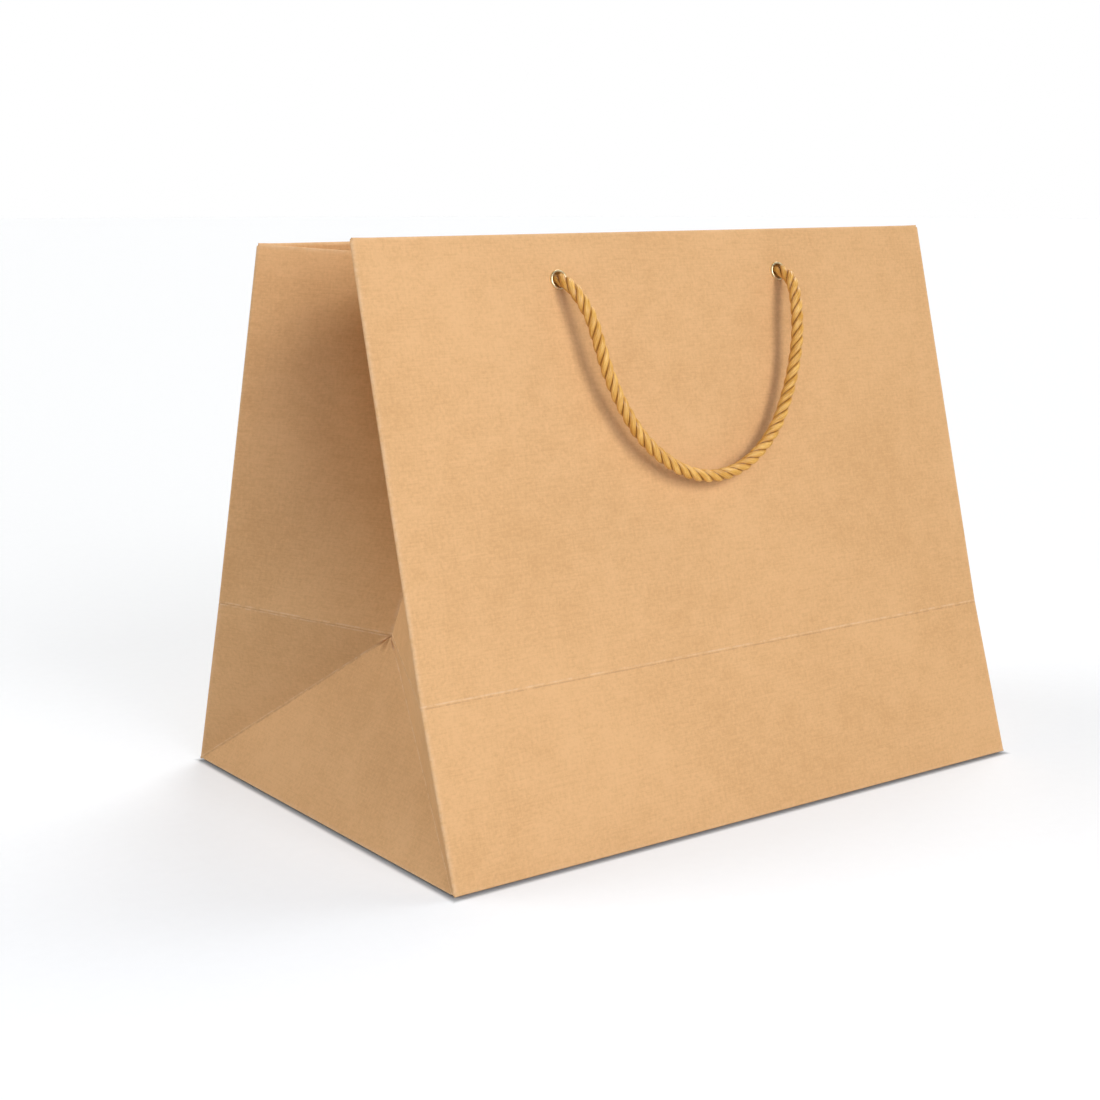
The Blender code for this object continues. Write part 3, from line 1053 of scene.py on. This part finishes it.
        across_fold = np.cross(corners[1] - corners[0], line[1] - line[0])
        across_fold /= np.linalg.norm(across_fold)
        reach = float((line[0] - corners[0]) @ across_fold)
        points = np.stack((corners[0], corners[0] + across_fold * reach))
        points = self.mirrored(points, end)
        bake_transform(piece)
        return piece

    def make_crease_strip(self, end: End, kraft: bpy.types.Material) -> bpy.types.Object:
        """Build the strip inside the gusset's crease that keeps it shut when the wall folds.

        It follows the gusset's face a little below and above the crease, just behind the paper.

        Args:
            end: The wall's own left or right end.
            kraft: The paper's finish.

        Returns:
            The piece, which stands with the bottom.
        """
        rows = self.crease + np.linspace(-0.0040, 0.0075, 16)
        across = np.linspace(0.035, 0.955, 44)[None, :, None]
        behind = self.shape.paper + 0.00012
        grid = self.fold_surface(rows, across) + self.fold_normals(rows, across) * behind
        u, v = np.broadcast_arrays(across[..., 0] * self.strip_width + 0.4, rows[:, None])
        blank = {"score_distance": np.ones(u.shape), "edge_distance": np.ones(u.shape)}
        piece = sheet_piece(
            f"{self.gusset_side(end)}_{self.wall.label}_crease_strip",
            self.mirrored(grid, end),
            np.stack((u, v), axis=-1),
            self.shape.paper * 0.7,
            kraft,
            blank,
            flip=end is End.LEFT,
        )
        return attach(piece, "bottom")

    def hardware_place(self, x: float, up: Array, out: Array) -> Array:
        """Places on the wall beside the eyelets, as points of the row frame.

        Args:
            x: Distance along the wall, or an array of them.
            up: Distances up the wall from the eyelets' centres.
            out: Distances out from the wall's outer face.

        Returns:
            The points, one a line.
        """
        centre = self.height - self.shape.eyelet_drop
        return self.turned(self.outer(x, centre + np.asarray(up, float), -np.asarray(out, float)))


@dataclass
class GussetFoot:
    """The gusset below its crease: a base triangle and two corner triangles round one apex."""

    front: WallPaper
    back: WallPaper
    end: End
    floor_gap: float = 0.0004
    flat_run: float = 1.07
    flat_rise: float = 1.12
    ridge: float = 0.00028
    crumple: float = 0.00085

    def make(self, kraft: bpy.types.Material) -> bpy.types.Object:
        """Build the three triangles as one sheet of lines that all run to the apex.

        The border runs down the front corner, along the base and up the back corner. A point is a
        share of the way from its border point to the apex. The two diagonal folds and the folded
        apex are raised slightly.

        Args:
            kraft: The paper's finish.

        Returns:
            The piece, which stands with the bottom.
        """
        end, other = self.end, End(-self.end.value)
        start = 0.0012
        down = np.linspace(self.front.crease, start, 32)
        up = np.linspace(start, self.back.crease, 36)
        front = self.front.mirrored(self.front.corner_line(down), end)
        back = self.back.mirrored(self.back.corner_line(up), other)
        share = np.linspace(0.0, 1.0, 92)[1:-1, None]
        low_front, low_back = front[-1].copy(), back[0].copy()
        low_front[2] = low_back[2] = self.floor_gap
        low_front[0] = low_back[0] = self.end.value * (self.front.shape.half_width - 0.0003)
        base = low_front + (low_back - low_front) * share
        border = np.vstack((front, base, back))
        apex = self.front.mirrored(self.front.fold_target(np.array([0.0])), end)[0]
        inwards = np.concatenate((np.linspace(0, 0.03, 4)[:-1], np.linspace(0.03, 0.9, 34)[:-1]))
        inwards = np.concatenate((inwards, np.linspace(0.9, 0.995, 9)))[None, :, None]
        grid = border[:, None, :] + (apex - border[:, None, :]) * inwards
        near = 1 - inwards[..., 0]
        count = len(border)
        number = np.arange(count)[:, None]
        lines, offs = [(len(front) - 0.5, low_front), (count - len(back) + 0.5, low_back)], []
        for place, corner in lines:
            way = unit(corner - apex)
            offs.append(np.linalg.norm(np.cross(grid - apex, way), axis=-1) * np.sign(number - place))
        tops = []
        for foot in (front[0], back[-1]):
            way = unit(foot - apex)
            tops.append(np.linalg.norm(np.cross(grid - apex, way), axis=-1))
        reach = np.linalg.norm(grid - apex, axis=-1)
        relief = 0
        for k, off in enumerate(offs):
            wander = 0.6 + 0.4 * np.sin(210 * reach + 2.0 * k) * np.sin(90 * reach + k)
            relief = relief + self.ridge * wander * np.exp(-((off / 0.0022) ** 2))
        turn = np.pi * number / (count - 1)
        pucker = np.sin(9 * turn) * np.sin(2 * turn + 0.4) * np.sin(turn) ** 0.5
        relief = relief + self.crumple * pucker * np.exp(-((reach - 0.005) ** 2) / 0.0032**2)
        relief = relief * smooth_step((1 - near) / 0.03) * smooth_step(near / 0.02)
        flip = self.end is End.RIGHT
        normals = grid_normals(grid) * (-1.0 if flip else 1.0)
        grid = grid + normals * relief[..., None]
        offs = np.stack(offs + tops)
        nearest = np.take_along_axis(offs, np.abs(offs).argmin(axis=0)[None], axis=0)[0]
        edge = (1 - near) * np.linalg.norm(border - apex, axis=-1)[:, None]
        u = self.end.value * 0.27 + grid[..., 1] * self.flat_run
        v = grid[..., 2] * self.flat_rise
        name = f"{self.end.label}_gusset_foot"
        piece = sheet_piece(
            name,
            grid,
            np.stack((u, v), axis=-1),
            self.front.shape.paper,
            kraft,
            {"score_distance": nearest, "edge_distance": edge + 0.0002},
            flip=flip,
        )
        nodes = ("base", "front_corner", "back_corner")
        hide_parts(*(f"{self.end.label}_gusset_{node}" for node in nodes))
        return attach(piece, "bottom")


@dataclass
class FoldedBottom:
    """The side flaps of the folded bottom and the loose board that lies on them."""

    shape: BagShape
    height: float = 0.0016
    flap_drop: float = 0.0006
    flap_end_gap: float = 0.0012
    flap_side_gap: float = 0.0016
    board_radius: float = 0.0040
    board_edge: float = 0.00035

    def make_side_flap(self, end: End, kraft: bpy.types.Material) -> bpy.types.Object:
        """Build the triangular flap: rows run in from the side and narrow to a blunt tip.

        Args:
            end: The side of the bag.
            kraft: The paper's finish.

        Returns:
            The piece.
        """
        s = self.shape
        wide, edge = s.half_width - self.flap_end_gap, s.depth / 2 - self.flap_side_gap
        inward = np.linspace(0.0, 0.97, 44)[:, None]
        y = edge * (1 - inward) * np.linspace(-1, 1, 40)
        lift = self.height - self.flap_drop * (1 - smooth_step(inward * edge / 0.004))
        grid = np.stack(np.broadcast_arrays(inward * edge - wide, y, lift), axis=-1)
        grid = grid * np.array([-end.value, 1.0, 1.0])
        uv = np.stack(np.broadcast_arrays(y + 0.9, inward * edge - 0.2), axis=-1)
        blank = {"score_distance": np.ones(y.shape), "edge_distance": np.ones(y.shape)}
        piece = sheet_piece(
            f"bottom_{end.label}_side_flap",
            grid,
            uv,
            s.paper,
            kraft,
            blank,
            flip=end is End.RIGHT,
        )
        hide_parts(f"bottom_{end.label}_flap")
        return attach(piece, "bottom")

    def make_board(self, board: bpy.types.Material) -> bpy.types.Object:
        """Build the board: a rounded outline swept from its middle, over its edge and back.

        Args:
            board: The board's finish.

        Returns:
            The piece.
        """
        low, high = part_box("bottom_board")
        half = np.array([high.x - low.x, high.y - low.y]) / 2
        turn = np.linspace(0, 2 * pi, 97)
        quarter = np.floor(turn / (pi / 2) + 1e-9).astype(int) % 4
        signs = np.array([(1, 1), (-1, 1), (-1, -1), (1, -1)])[quarter]
        outline = signs * (half - self.board_radius)
        outline = outline + self.board_radius * np.stack((np.cos(turn), np.sin(turn)), axis=-1)
        bend = np.linspace(0, pi / 2, 5)
        edge = self.board_edge
        inset = np.concatenate(
            (half.min() * np.linspace(1, 0.05, 12), edge * (1 - np.sin(bend)))
        )
        drop = np.concatenate((np.zeros(12), edge * (1 - np.cos(bend))))
        inset = np.concatenate((inset, inset[::-1]))
        z = np.concatenate((high.z - drop, low.z + drop[::-1]))
        way = np.stack((outline[:, 0] / half[0], outline[:, 1] / half[1]), axis=-1)
        scale = 1 - inset[:, None, None] / half.min()
        depth = inset[:, None, None]
        flat = np.where(depth > 2 * edge, outline * scale, outline - way * depth)
        heights = np.broadcast_to(z[:, None, None], flat.shape[:2] + (1,))
        grid = np.concatenate((flat, heights), axis=-1)[:, ::-1]
        faces = grid_faces(*grid.shape[:2])
        points = grid.reshape(-1, 3)
        piece = make_piece("base_board", points, faces, points[:, :2].copy(), board)
        closed_mesh(piece)
        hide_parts("bottom_board")
        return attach(piece, "bottom")


# ---------------------------------------------------------------- eyelets and ropes


@dataclass
class Eyelets:
    """The brass eyelets of one wall, each clinched over a washer behind the hem."""

    paper: WallPaper
    barrel: float = 0.0031
    wall: float = 0.0004
    flange: float = 0.0043
    flange_height: float = 0.0009
    washer_radius: float = 0.0050
    washer: float = 0.0004
    clinch: float = 0.0044
    roll: float = 0.0006
    soft: float = 0.0001
    steps: int = 72

    def ring(self, name: str, x: float, profile: Array, brass: bpy.types.Material) -> bpy.types.Object:
        """A ring turned about an eyelet's axis from its section.

        Args:
            name: The piece's name.
            x: Where the axis is along the wall.
            profile: The closed section: radius, and distance out from the wall's face.
            brass: The finish.

        Returns:
            The piece.
        """
        turn = np.linspace(0, 2 * pi, self.steps + 1)
        closed = np.vstack((profile, profile[:1]))
        radius, out = closed[:, :1], closed[:, 1:] + 0 * turn
        points = self.paper.hardware_place(x + radius * np.cos(turn), radius * np.sin(turn), out)
        around = path_length(closed)[:, None]
        uv = np.stack(np.broadcast_arrays(turn * self.flange, around), axis=-1)
        faces = grid_faces(*points.shape[:2])
        piece = make_piece(
            name, points.reshape(-1, 3), faces, uv.reshape(-1, 2), brass, sharp=60.0
        )
        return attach(closed_mesh(piece), self.paper.wall.body)

    def make(self, side: str, x: float, brass: bpy.types.Material) -> list[bpy.types.Object]:
        """Build one eyelet and its washer.

        The section runs from the rolled lip outside, through the barrel, to the roll behind.

        Args:
            side: The name of the eyelet's side.
            x: Where its axis is along the wall.
            brass: The finish.

        Returns:
            The two pieces.
        """
        inside, outside = self.barrel, self.barrel + self.wall
        middle, half = (inside + self.flange) / 2, (self.flange - inside) / 2
        arc = np.linspace(0, pi, 17)
        lip = np.stack((middle - half * np.cos(arc), self.flange_height * np.sin(arc) ** 0.75), axis=-1)
        lip[-1, 1] = lip[0, 1] = 0.0
        under = np.array([(self.flange - 0.0003, 0.00002), (outside, 0.00002)])
        back = -(self.paper.shape.stack + self.washer + 0.0002)
        clinch_middle, clinch_half = (outside + self.clinch) / 2, (self.clinch - inside) / 2
        curl = np.stack(
            (clinch_middle + clinch_half * np.cos(arc), back - self.roll * np.sin(arc)), axis=-1
        )
        section = np.vstack((lip, under, [(outside, back)], curl, [(inside, back + 0.0002)]))
        name = f"{self.paper.wall.label}_{side}"
        eyelet = self.ring(f"{name}_eyelet_ring", x, section[::-1], brass)
        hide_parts(f"{name}_eyelet")
        near, far = -self.paper.shape.stack - 0.00008, back + 0.00008
        rim, soft = self.washer_radius, self.soft
        section = np.array(
            [
                (outside, near),
                (rim - soft, near),
                (rim, near - soft),
                (rim, far + soft),
                (rim - soft, far),
                (outside, far),
            ]
        )
        washer = self.ring(f"{name}_washer_ring", x, section[::-1], brass)
        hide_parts(f"{name}_washer")
        return [eyelet, washer]


@dataclass
class RopeHandle:
    """A handle of twisted rope, with a knot behind each eyelet."""

    paper: WallPaper
    radius: float = 0.0028
    diameter: float = 0.0054
    squeeze: float = 0.10
    squeeze_reach: float = 0.0105
    lay: float = 0.0172
    strand: float = 0.555
    strands: int = 3
    around: int = 22
    yarns: int = 7
    yarn_height: float = 0.022
    bulge: float = 0.08
    close_reach: float = 0.0011
    flare_reach: float = 0.005
    ring_step: float = 0.00055
    inside: float = 0.0060
    length: float = 0.2630
    knot_unit: float = 0.00140
    knot_centre: float = 0.0106
    tail: float = 0.0130
    # Half a handle as it hangs: from the middle, below the eyelets' centres, out from the wall.
    # The loop hangs 1.7 mm lower than the CAD model's tube.
    route: tuple[tuple[float, float, float], ...] = (
        (0.0627, 0.0022, 0.0048),
        (0.0622, 0.0047, 0.0076),
        (0.0614, 0.0080, 0.0098),
        (0.0602, 0.0126, 0.0116),
        (0.0584, 0.0200, 0.0131),
        (0.0566, 0.0300, 0.0133),
        (0.0541, 0.0400, 0.0125),
        (0.0505, 0.0500, 0.0116),
        (0.0456, 0.0600, 0.0107),
        (0.0388, 0.0704, 0.0100),
        (0.0284, 0.0802, 0.0094),
        (0.0150, 0.0876, 0.0089),
        (0.0, 0.0903, 0.0087),
    )

    def place(self, local: Array) -> Array:
        """Places given as along the wall, below the eyelets, and out from it, in the row frame."""
        local = np.asarray(local, float)
        return self.paper.hardware_place(local[..., 0], -local[..., 1], local[..., 2])

    def frames(self, path: Array) -> tuple[Array, Array]:
        """Two unit directions across the path that don't turn about it.

        Each direction is the last one with its part along the new direction of the path taken out.

        Args:
            path: The path's points.

        Returns:
            The first and the second direction at each point.
        """
        way = unit(np.gradient(path, axis=0))
        first = np.zeros_like(way)
        across = np.cross(way[0], [0.31, 0.42, 0.85])
        for number, direction in enumerate(way):
            across = across - direction * (across @ direction)
            across = across / np.linalg.norm(across)
            first[number] = across
        return first, np.cross(way, first)

    def twist(
        self, name: str, path: Array, radius: float, rope: bpy.types.Material, flare: float = 0.0
    ) -> bpy.types.Object:
        """Lay three strands round a path.

        A strand's centre circles the path once in each lay. Round it goes a slightly flattened
        ring, which closes to a point over the last millimetre at both ends.

        Args:
            name: The piece's name.
            path: The path's evenly spaced points.
            radius: The rope's radius.
            rope: The finish.
            flare: How much further apart the strands stand at the path's far end.

        Returns:
            The piece.
        """
        first, second = self.frames(path)
        along = path_length(path)
        size = radius * self.strand
        to_end = np.minimum(along, along[-1] - along)
        squeeze = 1 - self.squeeze * smooth_step(1.4 - to_end / self.squeeze_reach)
        flared = smooth_step((along - along[-1] + self.flare_reach) / self.flare_reach)
        spread = (radius - size) * (1 + flare * flared)
        close = to_end / self.close_reach
        close = np.sqrt(np.clip(1 - (1 - np.clip(close, 0, 1)) ** 2, 0, 1))
        start = np.arange(self.strands)[:, None, None] * 2 * pi / self.strands
        turn = start + 2 * pi * along[None, :, None] / self.lay
        share = np.linspace(0, 1, self.around + 1)[None, None, :]
        ring = turn + pi + 2 * pi * share
        yarns = 1 + self.yarn_height * np.cos(self.yarns * (ring - 0.45 * turn))
        bulge = 1 + self.bulge * np.abs(np.sin(ring - turn))
        girth = size * close[None, :, None] * yarns * bulge
        girth = girth * squeeze[None, :, None]
        offset = (spread * squeeze)[None, :, None]
        x = offset * np.cos(turn) + girth * np.cos(ring)
        y = offset * np.sin(turn) + girth * np.sin(ring)
        points = path[None, :, None, :] + x[..., None] * first[None, :, None, :]
        points = points + y[..., None] * second[None, :, None, :]
        depth = np.hypot(x, y) / radius
        u = share + 0.55 * turn / (2 * pi)
        v = along[None, :, None] + 0.31 * np.arange(self.strands)[:, None, None] + 0 * u
        # In this order the faces point into the strands. Without the reversal they point out.
        faces = grid_faces(len(path), self.around + 1)[:, ::-1]
        count = len(path) * (self.around + 1)
        faces = (faces[None] + np.arange(self.strands)[:, None, None] * count).reshape(-1, 4)
        piece = make_piece(
            name,
            points.reshape(-1, 3),
            faces,
            np.stack((u + 0 * v, v), axis=-1).reshape(-1, 2),
            rope,
            {"strand_depth": depth},
            sharp=180.0,
        )
        return closed_mesh(piece)

    def make_knot(self, side: str, x: float, rope: bpy.types.Material) -> bpy.types.Object:
        """Build the overhand knot behind an eyelet, and its short tail.

        The knot is most of a trefoil, sin t + 2 sin 2t by cos t - 2 cos 2t by sin 3t, opened at
        one lobe for the rope to come in and the tail to leave.

        Args:
            side: The name of the eyelet's side.
            x: Where the eyelet's axis is along the wall.
            rope: The finish.

        Returns:
            The piece.
        """
        t = np.linspace(pi + 0.62, 3 * pi - 0.62, 46)
        unit_size = self.knot_unit
        deep = self.knot_centre + unit_size * 0.92 * (np.sin(t) + 2 * np.sin(2 * t))
        low = unit_size * (np.cos(t) - 2 * np.cos(2 * t) + 1.1)
        beside = -unit_size * 1.5 * np.sin(3 * t)
        lump = np.stack((x + beside, low, -deep), axis=-1)
        entry = np.array([(x, 0.0, -0.0030), (x, -0.0004, -0.0056)])
        leave = self.knot_centre + np.array([0.0050, 0.0085, 0.0104, 0.0110])
        hang = np.array([0.0006, 0.0016, 0.0050, 0.0050 + self.tail])
        tail = np.stack(np.broadcast_arrays(x, hang, -leave), axis=-1)
        local = np.vstack((entry, lump, tail))
        path = smooth_route(self.place(local), 160)
        name = f"{self.paper.wall.label}_{side}"
        piece = self.twist(f"{name}_rope_knot", path, self.radius * 0.92, rope, flare=0.22)
        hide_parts(f"{name}_knot")
        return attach(piece, self.paper.wall.body)

    def make(self, rope: bpy.types.Material) -> bpy.types.Object:
        """Build the handle and its knots.

        Args:
            rope: The finish.

        Returns:
            The rope, from behind one eyelet round the handle to behind the other.
        """
        label = self.paper.wall.label
        eyelet = self.paper.shape.eyelet_x
        half = [(eyelet, 0.0, -self.inside), (eyelet, 0.0, -0.002), (eyelet, 0.0003, 0.0016)]
        half += list(self.route)
        local = np.array([(-a, b, c) for a, b, c in half] + half[-2::-1])
        centre = self.place(local)
        total = path_length(smooth_route(centre, 800))[-1]
        path = smooth_route(centre, int(total / self.ring_step))
        piece = self.twist(f"{label}_rope_handle", path, self.radius, rope)
        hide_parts(f"{label}_handle")
        start, end = self.place([(0.0, 0.0, 0.0042), (0.0, 0.0058, 0.0100)])
        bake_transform(piece)
        # Both walls name their own left and right as the bag does.
        sign = 1.0 if self.paper.wall is Wall.FRONT else -1.0
        knots = [self.make_knot(end.label, sign * end.value * eyelet, rope) for end in End]
        self.place([(-eyelet, 0.0, 0.0)])[0].tolist()
        LOG.info("%s handle: rope %.4f m", label, total)
        return piece


# ---------------------------------------------------------------- the room


@dataclass(frozen=True)
class Sun:
    """A distant soft light.

    Its heading is about the vertical, from straight before the front wall, and its height is the
    angle above the floor.
    """

    name: str
    heading: float
    height: float
    spread: float
    power: float

    def make(self) -> bpy.types.Object:
        """Add the light to the scene.

        Returns:
            The light.
        """
        lamp = bpy.data.lights.new(self.name, "SUN")
        lamp.energy, lamp.angle = self.power, self.spread
        light = bpy.data.objects.new(self.name, lamp)
        bpy.context.collection.objects.link(light)
        light.rotation_euler = (pi / 2 - self.height, 0.0, self.heading)
        return light


@dataclass(frozen=True)
class Room:
    """A pale floor, soft light and the camera."""

    eye: tuple[float, float, float] = (-0.5372, -0.6860, 0.2749)
    heading: float = radians(36.33)
    dip: float = radians(11.3)
    lens: float = 61.43
    world_light: float = 0.10
    floor_glow: float = 0.475
    floor_dark: Colour = (0.460, 0.468, 0.476, 1.0)
    floor_light: Colour = (0.488, 0.497, 0.505, 1.0)
    floor_gap: float = 0.0009
    # The half sizes of the bag's outline and the fade of the painted contact shadow on the floor.
    contact: tuple[float, float] = (0.160, 0.111)
    contact_fade: float = 0.0030
    suns: tuple[Sun, ...] = (
        Sun("key_light", radians(4), radians(30), radians(19), 0.97),
        Sun("front_light", radians(-2), radians(13), radians(30), 1.00),
        Sun("side_light", radians(-130), radians(30), radians(40), 1.58),
        Sun("rim_light", radians(112), radians(50), radians(45), 1.85),
    )
    lamp_place: tuple[float, float, float] = (-0.42, -0.75, 0.45)
    lamp_aim: tuple[float, float, float] = (-0.05, 0.0, 0.12)
    lamp_size: float = 0.35
    lamp_colour: tuple[float, float, float] = (0.86, 0.98, 1.25)
    lamp_power: float = 1.85

    def make_camera(self) -> bpy.types.Object:
        """Place the camera, level from side to side, and make it the scene's own.

        Returns:
            The camera.
        """
        camera = bpy.data.objects.new("camera", bpy.data.cameras.new("camera"))
        bpy.context.collection.objects.link(camera)
        camera.data.lens = self.lens
        camera.data.sensor_width = 36.0
        camera.data.clip_start, camera.data.clip_end = 0.01, 60.0
        camera.location = self.eye
        camera.rotation_euler = (pi / 2 - self.dip, 0.0, -self.heading)
        bpy.context.scene.camera = camera
        return camera

    def make_lamp(self) -> bpy.types.Object:
        """Add a weak soft lamp near the bag's left end, turned to the bag.

        Returns:
            The lamp.
        """
        lamp = bpy.data.lights.new("soft_lamp", "AREA")
        lamp.energy, lamp.size = self.lamp_power, self.lamp_size
        lamp.color = self.lamp_colour
        light = bpy.data.objects.new("soft_lamp", lamp)
        bpy.context.collection.objects.link(light)
        light.location = self.lamp_place
        away = Vector(self.lamp_aim) - Vector(self.lamp_place)
        light.rotation_euler = away.to_track_quat("-Z", "Y").to_euler()
        return light

    def seen_only(self, tree: bpy.types.NodeTree, hidden: float, seen: float) -> bpy.types.NodeSocket:
        """A value for what is looked at directly, and another for the light that it gives.

        Args:
            tree: The world's or the floor's nodes.
            hidden: The value for the light it gives.
            seen: The value for the look.

        Returns:
            The output socket.
        """
        strength = tree.nodes.new("ShaderNodeMapRange")
        strength.inputs["To Min"].default_value = hidden
        strength.inputs["To Max"].default_value = seen
        direct = tree.nodes.new("ShaderNodeLightPath").outputs["Is Camera Ray"]
        tree.links.new(direct, strength.inputs["Value"])
        return strength.outputs["Result"]

    def make_floor(self) -> bpy.types.Object:
        """A round white floor just below the bag, with a faint grain.

        It glows for the camera only, except under the bag and right beside it, which leaves a painted
        contact shadow: a thin dark line where the bag stands.

        Returns:
            The floor, which is part of the stage and not of the bag.
        """
        turn = np.linspace(0, 2 * pi, 97)
        radius = np.array([0.0, 0.3, 0.8, 2.0, 5.0, 12.0])
        grid = np.stack(
            (
                radius[:, None] * np.cos(turn),
                radius[:, None] * np.sin(turn),
                np.full((len(radius), len(turn)), -self.floor_gap),
            ),
            axis=-1,
        )
        n = Nodes("floor_white")
        place = n.add("ShaderNodeTexCoord").outputs["Object"]
        grain = n.noise(place, 180.0, 3.0)
        n.join(n.blend(grain, self.floor_dark, self.floor_light), n.shader.inputs["Base Color"])
        n.shader.inputs["Roughness"].default_value = 0.85
        n.shader.inputs["Emission Color"].default_value = (1.0, 1.0, 1.0, 1.0)
        split = n.add("ShaderNodeSeparateXYZ")
        n.join(place, split.inputs[0])
        # Painted contact shadow: the glow fades out at the bag's outline, so the floor is dark there.
        past = [
            n.math("SUBTRACT", n.math("ABSOLUTE", split.outputs[axis]), half)
            for axis, half in enumerate(self.contact)
        ]
        beyond_painted_shadow = n.ramp(n.math("MAXIMUM", *past), 0.0, self.contact_fade)
        glow = n.math("MULTIPLY", beyond_painted_shadow, self.seen_only(n.tree, 0.0, self.floor_glow))
        n.join(glow, n.shader.inputs["Emission Strength"])
        mesh = bpy.data.meshes.new("floor")
        faces = grid_faces(*grid.shape[:2])
        mesh.from_pydata(grid.reshape(-1, 3).tolist(), [], faces.tolist())
        mesh.materials.append(n.material)
        floor = closed_mesh(bpy.data.objects.new("floor", mesh))
        bpy.context.collection.objects.link(floor)
        return floor

    def make(self) -> None:
        """Set up the whole room."""
        scene = bpy.context.scene
        scene.view_settings.view_transform = "Standard"
        scene.view_settings.look = "None"
        world = bpy.data.worlds.new("daylight")
        world.use_nodes = True
        tree = world.node_tree
        background = tree.nodes["Background"]
        background.inputs["Color"].default_value = (1.0, 1.0, 1.0, 1.0)
        tree.links.new(self.seen_only(tree, self.world_light, 1.0), background.inputs["Strength"])
        scene.world = world
        self.make_camera()
        self.make_floor()
        self.make_lamp()
        for sun in self.suns:
            sun.make()


# ---------------------------------------------------------------- the whole bag


def dress_boards(board: bpy.types.Material) -> None:
    """Give the stiffeners inside the hems their finish."""
    for wall in Wall:
        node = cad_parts[f"{wall.label}_stiffener"]
        if not node.material_slots:
            node.data.materials.append(board)
        for place in node.material_slots:
            place.material = board


def main() -> None:
    """Build the bag's pieces in order."""
    logging.basicConfig(level=logging.INFO, format="%(message)s")
    Room().make()
    finishes = Finishes(KraftPaper().make(), GreyBoard().make(), Brass().make(), SatinRope().make())
    shape = BagShape()
    front = WallPaper(Wall.FRONT, shape, 0.2605, 0.0745, radians(14.7), -0.00218)
    back = WallPaper(Wall.BACK, shape, 0.2575, 0.0855, radians(16.3), 0.00218)
    for paper in (front, back):
        RopeHandle(paper).make(finishes.rope)
        sign = 1.0 if paper.wall is Wall.FRONT else -1.0
        for end in End:
            Eyelets(paper).make(end.label, sign * end.value * shape.eyelet_x, finishes.brass)
            paper.make_fold(end, finishes.kraft)
            paper.make_crease_strip(end, finishes.kraft)
        paper.make(finishes.kraft)
    bottom = FoldedBottom(shape)
    for end in End:
        GussetFoot(front, back, end).make(finishes.kraft)
        bottom.make_side_flap(end, finishes.kraft)
    bottom.make_board(finishes.board)
    dress_boards(finishes.board)


if __name__ == "__main__":
    main()
